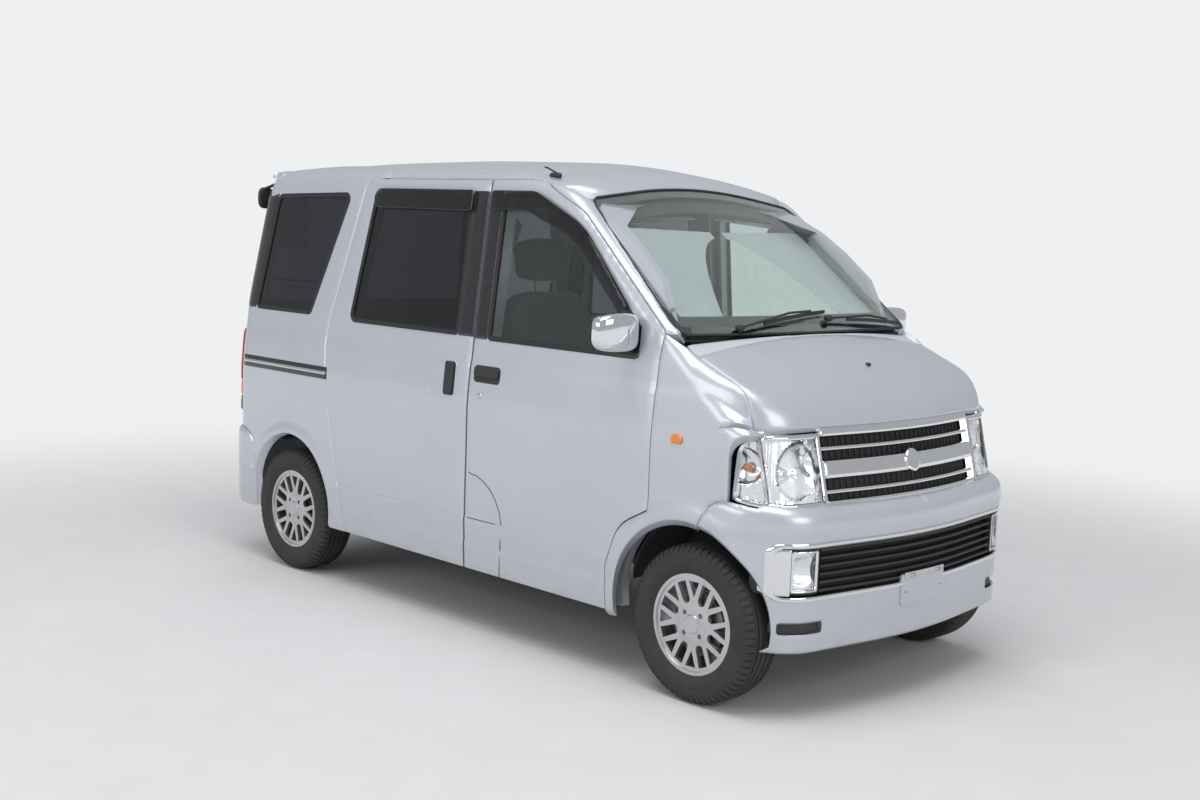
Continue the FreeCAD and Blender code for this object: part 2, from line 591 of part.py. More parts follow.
# Tail lamps on the rear corners
TAIL_LAMP_X = -1585.0
TAIL_LAMP_Y = 646.0
TAIL_LAMP_Z = (676.0, 1056.0)
tail_lamp = DOOR_SHELL.common(box(-FAR, TAIL_LAMP_X, -900, -TAIL_LAMP_Y, *TAIL_LAMP_Z))
tail_cut = box(-FAR, TAIL_LAMP_X + 0.5, -900, -TAIL_LAMP_Y + 0.5, TAIL_LAMP_Z[0] - 0.5, TAIL_LAMP_Z[1] + 0.5)
save("tail_lights", both(largest(tail_lamp)))
side_body = side_body.cut(tail_cut).cut(prism(inset(REAR_SEAM, -0.5), "XZ", -900, 900))
side_body = largest(side_body)
save("side_body_right", side_body)
save("side_body_left", mirrored(side_body))
save("rear_bumper", largest(minus(rear_bumper, [side_body, mirrored(side_body)])))

# Floor, seat box and wheelhouses
FLOOR_Z = 420.0
REAR_FLOOR_Z = 560.0
PLATE = 18.0
FRAME_RAIL_Y = 400.0
SEAT_BOX_X = (30, 640)
FLOOR_SIDE = [(1010, FLOOR_Z, 0), (-700, FLOOR_Z, 60), (-790, REAR_FLOOR_Z, 60), (-1590, REAR_FLOOR_Z, 0),
              (-1590, REAR_FLOOR_Z + PLATE, 0), (-800, REAR_FLOOR_Z + PLATE, 60), (-690, FLOOR_Z + PLATE, 60),
              (30, FLOOR_Z + PLATE, 6), (30, 690, 30), (640, 690, 30), (640, FLOOR_Z + PLATE, 10),
              (1010, FLOOR_Z + PLATE, 0)]
engine_room = box(48, 622, -640, 640, FLOOR_Z - 5, 672)
REAR_SPACES = ARCHES_REAR + HOUSE_DRUMS
floor = minus(prism(FLOOR_SIDE, "XZ", -700, 700).cut(engine_room).common(BODY_INNER), REAR_SPACES)
save("floor_pan", largest(floor.common(box(-FAR, SEAT_BOX_X[0], -700, 700, 300, 800))))
save("seat_box", largest(floor.common(box(*SEAT_BOX_X, -700, 700, 300, 800))))
save("front_floor", largest(floor.common(box(SEAT_BOX_X[1], FAR, -700, 700, 300, 800))))
frame_rail = box(-690, 955, -FRAME_RAIL_Y - 30, -FRAME_RAIL_Y + 30, 340, FLOOR_Z)
frame_rail = largest(minus(frame_rail, REAR_SPACES))
save("frame_rails", both(frame_rail))

# Front body: wheelhouses, strut towers, rails, firewall and front panel
WHEELHOUSE_Y = 398.0
wheelhouse = drum(FRONT_ARCH[0], FRONT_ARCH[1], FRONT_ARCH_RADIUS + 12, -690, -WHEELHOUSE_Y + 12)
wheelhouse = wheelhouse.cut(drum(FRONT_ARCH[0], FRONT_ARCH[1], FRONT_ARCH_RADIUS, -900, -WHEELHOUSE_Y))
wheelhouse = wheelhouse.common(FRAME_OUTER).common(box(900, 1700, -700, -300, 300, 700))
BALL_JOINT = V(FRONT_AXLE_X, -600, 165)
STEER_AXIS = V(0, STEER_AXIS_LEAN, 1).normalize()


def on_axis(z):
    """Point of the steering axis at a height."""
    return BALL_JOINT + STEER_AXIS * ((z - BALL_JOINT.z) / STEER_AXIS.z)


STRUT_ROOM = 66.0
STRUT_HOLE = 13.25
strut_space = rod(on_axis(540), on_axis(748), STRUT_ROOM)
tower = rod(on_axis(560), on_axis(760), STRUT_ROOM + 12).cut(strut_space)
tower = tower.common(box(1100, 1400, -700, -300, 560, 900))
house = union([wheelhouse.cut(strut_space), tower])
house = house.cut(rod(on_axis(700), on_axis(900), STRUT_HOLE))
rail_beam = box(960, 1560, -WHEELHOUSE_Y + 12, -320, 330, FLOOR_Z)
front_arch_space = drum(FRONT_ARCH[0], FRONT_ARCH[1], FRONT_ARCH_RADIUS, -900, -WHEELHOUSE_Y)
firewall = box(FIREWALL_X, FIREWALL_X + 14, -640, 640, 330, 1080)
firewall = minus(firewall, [front_arch_space, mirrored(front_arch_space)])
front_panel = box(1500, 1514, -WHEELHOUSE_Y + 12, WHEELHOUSE_Y - 12, 330, 860)
lid_arms = []
for side in (-1, 1):
    inner_y, outer_y = side * (BONNET_HINGE_Y - 8), side * (BONNET_HINGE_Y + 12)
    elbow = (lid_x + 22, outer_y, 1120)
    lid_arms += [rod((FIREWALL_X + 7, outer_y, 1060), elbow, 6), Part.makeSphere(6, V(*elbow))]
    lid_arms.append(rod(elbow, (lid_x, outer_y, lid_z), 6))
    lid_arms.append(drum(lid_x, lid_z, HINGE_PIN, min(inner_y, outer_y), max(inner_y, outer_y)))
front_body = union(lid_arms + [house, mirrored(house), rail_beam, mirrored(rail_beam),
                               firewall, front_panel])
door_edge_room = box(900, 1050, -900, -640, 200, 1300)
front_body = minus(front_body, [fender, mirrored(fender), door_edge_room, mirrored(door_edge_room), bumper,
                                side_body, mirrored(side_body)])
save("front_body", front_body)

# Dashboard, with a bore for the steering column
COLUMN_LOW = V(900, -330, 900)
COLUMN_TOP = V(640, -330, 1080)
COLUMN_RADIUS = 24.0
COLUMN_LENGTH = 190.0
column_axis = (COLUMN_TOP - COLUMN_LOW).normalize()
DASH_FRONT_X = FIREWALL_X - SEAT_GAP
DASH = [(760, 900, 30), (760, 1080, 60), (880, 1165, 60), (1120, 1190, 20), (1100, 1150, 20),
        (DASH_FRONT_X, 1090, 20), (DASH_FRONT_X, 760, 30), (900, 700, 40)]
column_bore = rod(COLUMN_TOP - column_axis * 60, COLUMN_TOP - column_axis * 200, COLUMN_RADIUS + SEAT_GAP)
dash = prism(DASH, "XZ", -608, 608).common(THIN_INNER)
save("dashboard", largest(minus(dash, [column_bore, side_body, mirrored(side_body)])))

# Seats
SEAT_BASE = [(95, 690.3, 20), (95, 760, 30), (560, 830, 60), (590, 690.3, 30)]
SEAT_BACK = [(105, 735, 20), (215, 750, 20), (120, 1340, 40), (20, 1330, 40)]
HEAD_REST = [(20, 1350, 30), (100, 1360, 30), (80, 1530, 30), (10, 1520, 30)]
seat_parts = [prism(SEAT_BASE, "XZ", -590, -110), prism(SEAT_BACK, "XZ", -580, -120)]
seat_parts += [prism(HEAD_REST, "XZ", -470, -230), rod((60, -400, 1300), (55, -400, 1400), 6),
               rod((60, -300, 1300), (55, -300, 1400), 6)]
seat = union(seat_parts)
save("front_seats", both(seat))
BENCH_HALF = 560
BENCH_FEET_Y = 400
BENCH_BASE = [(-800, 579, 20), (-800, 720, 40), (-330, 740, 60), (-330, 600, 40)]
BENCH_BACK = [(-800, 700, 40), (-690, 710, 40), (-790, 1250, 40), (-890, 1240, 40)]
bench_parts = [prism(rows, "XZ", -BENCH_HALF, BENCH_HALF) for rows in (BENCH_BASE, BENCH_BACK)]
bench_parts += [box(-640, -600, y - 20, y + 20, FLOOR_Z + PLATE + SEAT_GAP, 600)
                for y in (-BENCH_FEET_Y, BENCH_FEET_Y)]
save("rear_seat", union(bench_parts))

# Steering wheel and column
RIM_CENTRE_RADIUS = 182.0
RIM_BAR = 15.0
SPOKE_ANGLES = (0, 180, 270)
rim_section = [(RIM_CENTRE_RADIUS + RIM_BAR * math.cos(math.radians(turn)),
                RIM_BAR * math.sin(math.radians(turn)), 0)
               for turn in range(30, 390, 60)]
hoop = Part.Face(outline(rim_section, "XZ")).revolve(V(0, 0, 0), V(0, 0, 1), 360)
hoop.rotate(V(0, 0, 0), V(0, 1, 0), -math.degrees(math.atan2(-column_axis.x, column_axis.z)))
hoop.translate(COLUMN_TOP)
hub = Part.makeCylinder(62, 34, COLUMN_TOP - column_axis * 26, column_axis)
spokes = []
for angle in SPOKE_ANGLES:
    turn = math.radians(angle)
    along = V(0, 1, 0) * math.cos(turn) + column_axis.cross(V(0, 1, 0)) * math.sin(turn)
    spokes.append(Part.makeCylinder(11, RIM_CENTRE_RADIUS - 4, COLUMN_TOP, along))
column = Part.makeCylinder(COLUMN_RADIUS, COLUMN_LENGTH, COLUMN_TOP - column_axis * COLUMN_LENGTH, column_axis)
save("steering_wheel", union([hoop, hub, column] + spokes))

# Machinery below: engine block with its mounts, drive shaft, rear axle, exhaust, tank, front links
ENGINE_X = (70.0, 600.0)
ENGINE_HALF = 250.0
ENGINE_Z = (330.0, 660.0)
HUB_Y = WHEEL_Y + 30 - SEAT_GAP
mount_arm = box(300, 360, -FRAME_RAIL_Y + 30 + SEAT_GAP, -ENGINE_HALF + 5, 350, 410)
block = box(ENGINE_X[0], ENGINE_X[1], -ENGINE_HALF, ENGINE_HALF, *ENGINE_Z)
save("engine", union([block, mount_arm, mirrored(mount_arm)]))
AXLE_CASE_RADIUS = 94.0
drive = rod((ENGINE_X[0] - SEAT_GAP, 0, 372), (REAR_AXLE_X + 60, 0, AXLE_Z + 8), 26)
drive = drive.cut(Part.makeSphere(AXLE_CASE_RADIUS + SEAT_GAP, V(REAR_AXLE_X, 0, AXLE_Z)))
save("drive_shaft", drive.cut(block))
axle_half = [drum(REAR_AXLE_X, AXLE_Z, 105, -HUB_Y, -600),
             rod((REAR_AXLE_X, -430, AXLE_Z), (REAR_AXLE_X, -430, REAR_FLOOR_Z - SEAT_GAP), 46),
             rod((REAR_AXLE_X, -FRAME_RAIL_Y, AXLE_Z - 10), (-690.5, -FRAME_RAIL_Y, 372), 15)]
axle_parts = [rod((REAR_AXLE_X, -HUB_Y, AXLE_Z), (REAR_AXLE_X, HUB_Y, AXLE_Z), 32),
              Part.makeSphere(AXLE_CASE_RADIUS, V(REAR_AXLE_X, 0, AXLE_Z))]
axle_parts += axle_half + [mirrored(part) for part in axle_half]
save("rear_axle", minus(union(axle_parts), [floor, frame_rail, mirrored(frame_rail)]))
EXHAUST_Y = 200.0
PIPE = 20.0
HANGER = 5.0
pipe_bend = (-1180, 300, 420)
exhaust_parts = [rod((60, EXHAUST_Y, 300), (-900, EXHAUST_Y, 300), PIPE),
                 box(-950, -700, 120, 300, 262, 350), rod((-920, 240, 330), pipe_bend, PIPE),
                 rod(pipe_bend, (-1640, 420, 300), PIPE), Part.makeSphere(PIPE, V(*pipe_bend)),
                 rod((-560, EXHAUST_Y, 300), (-560, EXHAUST_Y, FLOOR_Z - SEAT_GAP), HANGER),
                 rod((-1400, 357, 362), (-1400, 357, REAR_FLOOR_Z - SEAT_GAP), HANGER)]
save("exhaust", union(exhaust_parts))
save("fuel_tank", box(-640, -60, -FRAME_RAIL_Y + 32, -60, 250, FLOOR_Z - SEAT_GAP))
link_half = [rod((FRONT_AXLE_X, -320, 262), (FRONT_AXLE_X, -560, 176.3), 14),
             box(FRONT_AXLE_X - 60, FRONT_AXLE_X + 60, -374, -326, 265, 330 - SEAT_GAP)]
crossmember = box(FRONT_AXLE_X - 70, FRONT_AXLE_X + 70, -330, 330, 250, 310)
save("front_suspension", union([crossmember] + link_half + [mirrored(part) for part in link_half]))
knuckle = union([rod(on_axis(150), on_axis(470), 20), rod(on_axis(470), on_axis(747.7), 13),
                 drum(FRONT_AXLE_X, AXLE_Z, 44, -HUB_Y, -560),
                 drum(FRONT_AXLE_X, AXLE_Z, 112, -HUB_Y, -HUB_Y + 12),
                 rod(on_axis(560), on_axis(730), 52)])
save("front_knuckle_right", knuckle)
save("front_knuckle_left", mirrored(knuckle))

# Tyre and rim sections: along the axle, radius, corner radius
TREAD_EDGE = 57.0
TYRE = [(-62, RIM_RADIUS, 0), (-62, 180, 0), (-TYRE_WIDTH / 2, 222, 0), (-76, 256, 0),
        (-TREAD_EDGE, TYRE_RADIUS, 0), (TREAD_EDGE, TYRE_RADIUS, 0), (76, 256, 0),
        (TYRE_WIDTH / 2, 222, 0), (62, 180, 0), (62, RIM_RADIUS, 0)]
RIM = [(-68, 155, 0), (-68, 178.7, 0), (-62.4, 178.7, 0), (-62.4, RIM_RADIUS - SEAT_GAP, 0),
       (62.4, RIM_RADIUS - SEAT_GAP, 0), (62.4, 178.7, 0), (68, 178.7, 0), (68, 162, 0),
       (50, 158, 0), (-50, 158, 0)]
# Dish of the alloy wheel: along the axle outwards, radius, corner radius
DISH = [(30, 0, 0), (30, 54, 0), (44, 70, 0), (44, 160, 0), (62, 161, 0), (58, 80, 0), (62, 56, 0),
        (62, 34, 0), (66, 30, 0), (66, 0, 0)]


def turned(rows):
    """Solid turned about X from its section."""
    return Part.Face(outline(rows, "XY")).revolve(V(0, 0, 0), V(1, 0, 0), 360)


tyre = turned(TYRE)
# Eight long slots, rounded at the hub, and eight triangles between them leave the spokes
SPOKES = 8
BOLTS = 4
BOLT_CIRCLE_RADIUS = 50.0
NUT_ROOM = 9.0
triangle = prism([(0, 92, 0), (23, 147, 0), (-23, 147, 0)], "YZ", 20, 80)
slot = prism([(-15, 74, 14.9), (-19, 149, 0), (19, 149, 0), (15, 74, 14.9)], "YZ", 20, 80)
nut_hole = Part.makeCylinder(NUT_ROOM, 40, V(48, 0, BOLT_CIRCLE_RADIUS), V(1, 0, 0))
dish = minus(turned(DISH), polar(triangle, SPOKES) + polar(slot, SPOKES, 180.0 / SPOKES)
             + polar(nut_hole, BOLTS, 45))
wheel = turned(RIM).fuse(dish)


def corner(shape, x, side):
    """Wheel piece turned to its corner of the car; side is -1 right, 1 left."""
    copy = shape.copy()
    copy.rotate(V(0, 0, 0), V(0, 0, 1), 90 * side)
    copy.translate(V(x, side * WHEEL_Y, AXLE_Z))
    return copy


for end, x in (("front", FRONT_AXLE_X), ("rear", REAR_AXLE_X)):
    for name, side in (("right", -1), ("left", 1)):
        save("tyre_" + end + "_" + name, corner(tyre, x, side))
        save("wheel_" + end + "_" + name, corner(wheel, x, side))

# Door mirrors and wipers
mirror = prism([(890, 1165, 28), (890, 1300, 34), (960, 1310, 30), (985, 1190, 36)], "XZ", -905, -765)
WINDOW_LEAN = (712 - 636) / (ROOF_EDGE_Z - BELT_Z)
foot_low, foot_high = (712.1 - WINDOW_LEAN * (z - BELT_Z) for z in (1178, 1215))
arm = prism([(-790, 1178, 0), (-790, 1215, 0), (-foot_high, 1215, 0), (-foot_low, 1178, 0)], "YZ", 905, 945)
door_mirror = union([mirror, arm])
save("door_mirror_right", door_mirror)
save("door_mirror_left", mirrored(door_mirror))


def glass_z(x, y):
    """Height of the windshield's outer face."""
    foot_x, foot_z = GLASSHOUSE_PROFILE[-1][:2]
    fall = y * y / (2 * GLASS_CROWN) / math.cos(WINDSHIELD_SLOPE)
    return foot_z + (foot_x - x) * math.tan(WINDSHIELD_SLOPE) - fall


wipers = []
for base_x, base_y, tip_x, tip_y in ((1166, -250, 1085, 210), (1160, 300, 1095, 600)):
    low = V(base_x, base_y, glass_z(base_x, base_y) + 11)
    tip = V(tip_x, tip_y, glass_z(tip_x, tip_y) + 10)
    pivot = upright(base_x, base_y, 9, 1150, low.z + 6)
    wipers.append(minus(union([rod(low, tip, 6), pivot]), [OUTER]))
save("wipers", Part.makeCompound(wipers))
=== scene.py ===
import json
import math
import bpy
import numpy as np
from mathutils import Matrix, Vector
from mathutils.geometry import delaunay_2d_cdt

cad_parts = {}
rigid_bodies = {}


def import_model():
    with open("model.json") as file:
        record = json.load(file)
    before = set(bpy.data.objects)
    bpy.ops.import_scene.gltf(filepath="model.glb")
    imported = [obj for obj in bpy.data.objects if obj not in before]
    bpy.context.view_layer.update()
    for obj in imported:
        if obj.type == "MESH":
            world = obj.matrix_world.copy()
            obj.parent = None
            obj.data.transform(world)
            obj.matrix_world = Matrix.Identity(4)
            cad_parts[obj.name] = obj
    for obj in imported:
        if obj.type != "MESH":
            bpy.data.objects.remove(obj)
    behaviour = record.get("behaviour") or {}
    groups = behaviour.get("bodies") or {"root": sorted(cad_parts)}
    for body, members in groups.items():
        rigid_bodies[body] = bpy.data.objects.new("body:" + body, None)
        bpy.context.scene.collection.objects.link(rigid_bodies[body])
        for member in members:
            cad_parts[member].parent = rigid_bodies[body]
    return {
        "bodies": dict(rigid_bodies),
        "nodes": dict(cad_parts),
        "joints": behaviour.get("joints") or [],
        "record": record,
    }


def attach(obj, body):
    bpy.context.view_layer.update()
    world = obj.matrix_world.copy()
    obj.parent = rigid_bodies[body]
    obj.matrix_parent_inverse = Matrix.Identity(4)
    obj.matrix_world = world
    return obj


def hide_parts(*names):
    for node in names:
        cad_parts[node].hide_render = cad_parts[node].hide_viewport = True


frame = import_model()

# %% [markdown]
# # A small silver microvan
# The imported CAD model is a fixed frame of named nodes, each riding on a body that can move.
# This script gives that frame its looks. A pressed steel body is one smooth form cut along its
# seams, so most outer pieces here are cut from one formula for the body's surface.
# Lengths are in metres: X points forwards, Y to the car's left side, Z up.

scene = bpy.context.scene
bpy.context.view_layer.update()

# %% [markdown]
# ## Camera
# The place and the lens come from points that the photograph and the model share: wheel centres,
# seam corners and lamp corners. The camera stands ahead of the car on its right side, a little
# above the window line, and is turned slightly about its own axis.

# %% Camera
CAMERA_PLACE = (4.517, -4.418, 1.606)
CAMERA_YAW = 45.30
CAMERA_DOWN = 6.74
CAMERA_ROLL = 2.22
FOCAL_IN_WIDTHS = 1496.14 / 1200
SENSOR_WIDTH = 36.0


def add_camera():
    """Camera that looks along the photograph's line of sight."""
    data = bpy.data.cameras.new("studio_camera")
    data.sensor_width = SENSOR_WIDTH
    data.lens = FOCAL_IN_WIDTHS * SENSOR_WIDTH
    data.clip_end = 100.0
    camera = bpy.data.objects.new("studio_camera", data)
    scene.collection.objects.link(camera)
    yaw, down, roll = (math.radians(a) for a in (CAMERA_YAW, CAMERA_DOWN, CAMERA_ROLL))
    ahead = Vector((-math.sin(yaw) * math.cos(down), math.cos(yaw) * math.cos(down), -math.sin(down)))
    right = Vector((math.cos(yaw), math.sin(yaw), 0.0))
    upward = right.cross(ahead)
    turned_right = right * math.cos(roll) + upward * math.sin(roll)
    turned_up = upward * math.cos(roll) - right * math.sin(roll)
    turn = Matrix((turned_right, turned_up, -ahead)).transposed().to_4x4()
    camera.matrix_world = Matrix.Translation(CAMERA_PLACE) @ turn
    scene.camera = camera
    return camera


camera = add_camera()
print("camera at", [round(c, 2) for c in camera.location], "lens", round(camera.data.lens, 1), "mm")

# %% [markdown]
# ## The body's form
# A form is a function of a point that is negative inside the body and zero on its surface.
# Each face of the body is a simple function, and two faces meet in a rounded edge. The wall of
# the side leans in above the windows, and bulges over the wheels and at the skirt.

# %% Faces that meet in a rounded edge
SIDE_HEIGHTS = [0.0, 0.24, 0.47, 0.88, 1.15, 1.795, 2.1]
SIDE_HALF_WIDTHS = [0.7105, 0.7225, 0.7375, 0.7375, 0.712, 0.636, 0.600]
ROOF_X = [-1.9, -1.553, -1.0, -0.45, 0.15, 0.466, 0.80]
ROOF_Z = [1.800, 1.828, 1.850, 1.859, 1.850, 1.804, 1.755]
ROOF_CROWN = 5.876
FRONT_ARCH = (1.224, 0.3005)
REAR_ARCH = (-1.165, 0.3145)
FRONT_ARCH_RADIUS = 0.328
REAR_ARCH_RADIUS = 0.303


def soft_line(places, values, reach):
    """Straight runs between values, with their bends rounded over a reach, as a fine table."""
    fine = np.linspace(places[0], places[-1], 1600)
    heights = np.interp(fine, places, values)
    half = max(int(reach / (fine[1] - fine[0])), 1)
    kernel = np.hanning(2 * half + 3)[1:-1]
    padded = np.pad(heights, half, mode="reflect", reflect_type="odd")
    return fine, np.convolve(padded, kernel / kernel.sum(), mode="valid")


SIDE_TABLE = soft_line(SIDE_HEIGHTS, SIDE_HALF_WIDTHS, 0.09)
ROOF_TABLE = soft_line(ROOF_X, ROOF_Z, 0.16)


def meet(a, b, reach):
    """Depth in the space behind both faces; the edge between them is rounded over the reach."""
    gap = np.maximum(reach - np.abs(a - b), 0.0)
    return np.maximum(a, b) + gap * gap / (4 * reach)


def step(value, low, high):
    """Smooth step from 0 at low to 1 at high."""
    t = np.clip((value - low) / (high - low), 0.0, 1.0)
    return t * t * (3 - 2 * t)


# %% The side wall with its skirt, flares and creases
SKIRT_TOP = 0.446
SKIRT_LINE = 0.352


def side_relief(x, z):
    """How far the side stands out past its plain section."""
    skirt = 0.005 * step(z, SKIRT_TOP + 0.012, SKIRT_TOP - 0.012) * step(x, -1.70, -1.50)
    skirt = skirt + 0.004 * step(z, SKIRT_LINE + 0.006, SKIRT_LINE - 0.006)
    front = np.hypot(x - FRONT_ARCH[0], z - FRONT_ARCH[1])
    rear = np.hypot(x - REAR_ARCH[0], z - REAR_ARCH[1])
    flares = 0.009 * step(front, FRONT_ARCH_RADIUS + 0.075, FRONT_ARCH_RADIUS + 0.020)
    flares = flares + 0.008 * step(rear, REAR_ARCH_RADIUS + 0.055, REAR_ARCH_RADIUS + 0.015)
    flares = flares * step(z, 1.1, 0.8)
    shoulder = 0.0035 * step(z, 1.075, 1.035) * step(z, 0.70, 1.0)
    return np.maximum(skirt, flares) + shoulder


def side_face(x, y, z):
    """Depth behind the side wall."""
    half = np.interp(z, *SIDE_TABLE) + side_relief(x, z)
    return (y - half) * 0.99


# %% Roof, windshield, bonnet, nose and tail
WINDSHIELD_TILT = math.atan2(1.802 - 1.100, 1.3454 - 0.466)
BONNET_TILT = math.atan2(0.120, 0.283)
NOSE_LEAN = 0.25
NOSE_BASE = 0.712
NOSE_FRONT = 1.6425
BUMPER_FRONT = 1.6975
BASE_TOP = 1.300
BELT_Z = 1.180
PLAN_BEND_Y = 0.2937
EAVES_EDGE = 0.050
TAIL_EDGE = 0.100
HEADER_EDGE = 0.044
BONNET_EDGE = 0.055
NOSE_EDGE = 0.028
SHOULDER_EDGE = 0.062


def roof_face(x, y, z):
    """Depth under the crowned roof."""
    return z - (np.interp(x, *ROOF_TABLE) - y * y / ROOF_CROWN)


def plan_face(x, y, front):
    """Depth behind the curved front seen from above, before it reaches the sides."""
    middle = front - 0.0039 - y * y / 4.2
    outer = front + 0.017 - 0.1413 * y
    face = x - np.where(y < PLAN_BEND_Y, middle, outer)
    corner = (x - front + 0.072) * 0.514 + (y - 0.630) * 0.858
    return meet(face * 0.99, corner, 0.066)


def tail_face(x, y, z):
    """Depth behind the tail, which leans forwards above the belt and is curved in plan."""
    bulge = -1.6585 + 0.032 * (y / 0.739) ** 2
    low = bulge - x
    high = (bulge - x) * 0.9885 + (z - BELT_Z) * 0.151
    return meet(low, high, 0.012)


def house_form(x, y, z):
    """Depth in the glasshouse: sides, roof, windshield and tail."""
    glass = (x - 1.3454) * math.sin(WINDSHIELD_TILT) + (z - 1.100) * math.cos(WINDSHIELD_TILT)
    glass = glass + y * y / 11.0
    top = meet(roof_face(x, y, z), glass, HEADER_EDGE)
    body = meet(side_face(x, y, z), top, EAVES_EDGE)
    return meet(body, tail_face(x, y, z), TAIL_EDGE)


def base_form(x, y, z):
    """Depth in the lower body: sides, bonnet, nose and tail."""
    bonnet = (x - 1.172) * math.sin(BONNET_TILT) + (z - 1.240) * math.cos(BONNET_TILT)
    bonnet = bonnet + y * y / 8.4 - 0.004 * step(y, 0.50, 0.42) * step(x, 1.20, 1.30)
    brow = (x - 1.455) * 0.761 + (z - 1.120) * 0.648 + y * y / 12.0
    nose = plan_face(x + NOSE_LEAN * (z - NOSE_BASE), y, NOSE_FRONT) * 0.97
    front = meet(meet(bonnet, brow, BONNET_EDGE), nose, NOSE_EDGE)
    body = meet(side_face(x, y, z), front, SHOULDER_EDGE)
    return meet(body, tail_face(x, y, z), TAIL_EDGE)


def body_form(x, y, z):
    """Depth in the whole body without its bumpers."""
    return np.minimum(np.maximum(base_form(x, y, z), z - BASE_TOP), house_form(x, y, z))


def front_bumper_form(x, y, z):
    """Depth in the front bumper's upright form."""
    wrap = meet(plan_face(x, y, BUMPER_FRONT), side_face(x, y, z), 0.029) + 0.006 * step(z, 0.628, 0.604)
    return meet(wrap, (z - 0.716) + 0.10 * (x - 1.60), 0.060)


def rear_bumper_form(x, y, z):
    """Depth in the rear bumper."""
    tail = meet(-(x + 1.6925) + 0.034 * (y / 0.739) ** 2, side_face(x, y, z) - 0.004, 0.110)
    return meet(tail, z - 0.612, 0.040)


print("half width at the belt", round(float(np.interp(1.15, *SIDE_TABLE)), 4))
print("roof at the middle", round(float(np.interp(-0.4, *ROOF_TABLE)), 4))

# %% [markdown]
# ## Panels
# A panel is cut from a form by an outline, as a stamping is cut by its die. The outline is drawn
# in a flat view, points are strewn evenly inside it, joined to triangles and then dropped onto
# the form. The rim is rolled over a few millimetres, because a pressed edge is never sharp, and
# that thin line of changing light is what makes a gap between two panels look real.

# %% Outlines of lines and arcs
MILLI = 0.001


def inset(rows, amount):
    """The same outline with every side moved inwards; rows are across, up, corner radius."""
    count = len(rows)
    area = sum(rows[i - 1][0] * rows[i][1] - rows[i][0] * rows[i - 1][1] for i in range(count))
    turn = 1 if area > 0 else -1
    result = []
    for i, row in enumerate(rows):
        before, after = rows[i - 1], rows[(i + 1) % count]
        d1 = Vector((row[0] - before[0], row[1] - before[1])).normalized()
        d2 = Vector((after[0] - row[0], after[1] - row[1])).normalized()
        n1 = Vector((-d1.y, d1.x)) * turn
        n2 = Vector((-d2.y, d2.x)) * turn
        bend = (d1.x * d2.y - d1.y * d2.x) * turn
        shift = (n1 + n2) * (amount / (1 + n1.dot(n2)))
        radius = row[2] - amount if bend > 0 else row[2] + amount
        radius = max(radius, 2.0) if row[2] > 0 else 0
        result.append((row[0] + shift.x, row[1] + shift.y, radius))
    return result


def outline(rows, spacing=0.012, amount=0.0):
    """Points along a closed outline given in millimetres, its corners rounded."""
    rows = inset(rows, amount) if amount else rows
    count = len(rows)
    runs = []
    for i, (a, b, radius) in enumerate(rows):
        here = Vector((a, b)) * MILLI
        before = Vector(rows[i - 1][:2]) * MILLI
        after = Vector(rows[(i + 1) % count][:2]) * MILLI
        d1, d2 = (here - before).normalized(), (after - here).normalized()
        angle = math.acos(max(-1.0, min(1.0, d1.dot(d2))))
        if radius < 0.5 or angle < 0.01:
            runs.append([here])
            continue
        reach = radius * MILLI * math.tan(angle / 2)
        start, end = here - d1 * reach, here + d2 * reach
        steps = max(int(math.ceil(angle * radius * MILLI / spacing)), int(angle / 0.12) + 1)
        turn = 1 if d1.x * d2.y - d1.y * d2.x > 0 else -1
        middle, along = (d2 - d1).normalized(), (d1 + d2).normalized()
        centre = start + Vector((-d1.y, d1.x)) * radius * MILLI * turn
        run = []
        for k in range(steps + 1):
            swing = angle * (k / steps - 0.5)
            run.append(centre - middle * radius * MILLI * math.cos(swing)
                       + along * radius * MILLI * math.sin(swing))
        run[0], run[-1] = start, end
        runs.append(run)
    corners = [p for run in runs for p in run]
    points = []
    for i, p in enumerate(corners):
        q = corners[(i + 1) % len(corners)]
        length = (q - p).length
        if length < 1e-6:
            continue
        parts = max(int(math.ceil(length / spacing)), 1)
        points += [p + (q - p) * (k / parts) for k in range(parts)]
    return np.array([(p.x, p.y) for p in points])


def circle(centre, radius, spacing=0.012):
    """Closed run of points round a circle."""
    count = max(int(2 * math.pi * radius / spacing), 12)
    turns = np.linspace(0, 2 * math.pi, count, endpoint=False)
    return np.stack([centre[0] + radius * np.cos(turns), centre[1] + radius * np.sin(turns)], 1)


# %% Flat views in which outlines are drawn
def look(outwards, across):
    """View along a direction: across, up and outwards."""
    n = np.array(outwards, float) / np.linalg.norm(outwards)
    u = np.array(across, float) - n * np.dot(across, n)
    u = u / np.linalg.norm(u)
    return u, np.cross(n, u), n


FROM_RIGHT = look((0, -1, 0), (1, 0, 0))
FROM_ABOVE = look((0, 0, 1), (1, 0, 0))
FROM_AHEAD = look((1, 0, 0), (0, 1, 0))
FROM_BEHIND = look((-1, 0, 0), (0, -1, 0))
FROM_GLASS = look((math.sin(WINDSHIELD_TILT), 0, math.cos(WINDSHIELD_TILT)), (0, 1, 0))
FROM_BROW = look((0.62, 0, 0.78), (0, 1, 0))
FROM_SHOULDER = look((0.30, -0.74, 0.60), (1, 0.4, 0))
FROM_EAVES = look((0, -0.72, 0.69), (1, 0, 0))
FROM_REAR_CORNER = look((-0.62, -0.78, 0.05), (1, -0.8, 0))
FROM_FRONT_CORNER = look((0.68, -0.73, 0.0), (0.73, 0.68, 0))


DROP_STEPS = 90
DROP_HALVINGS = 22


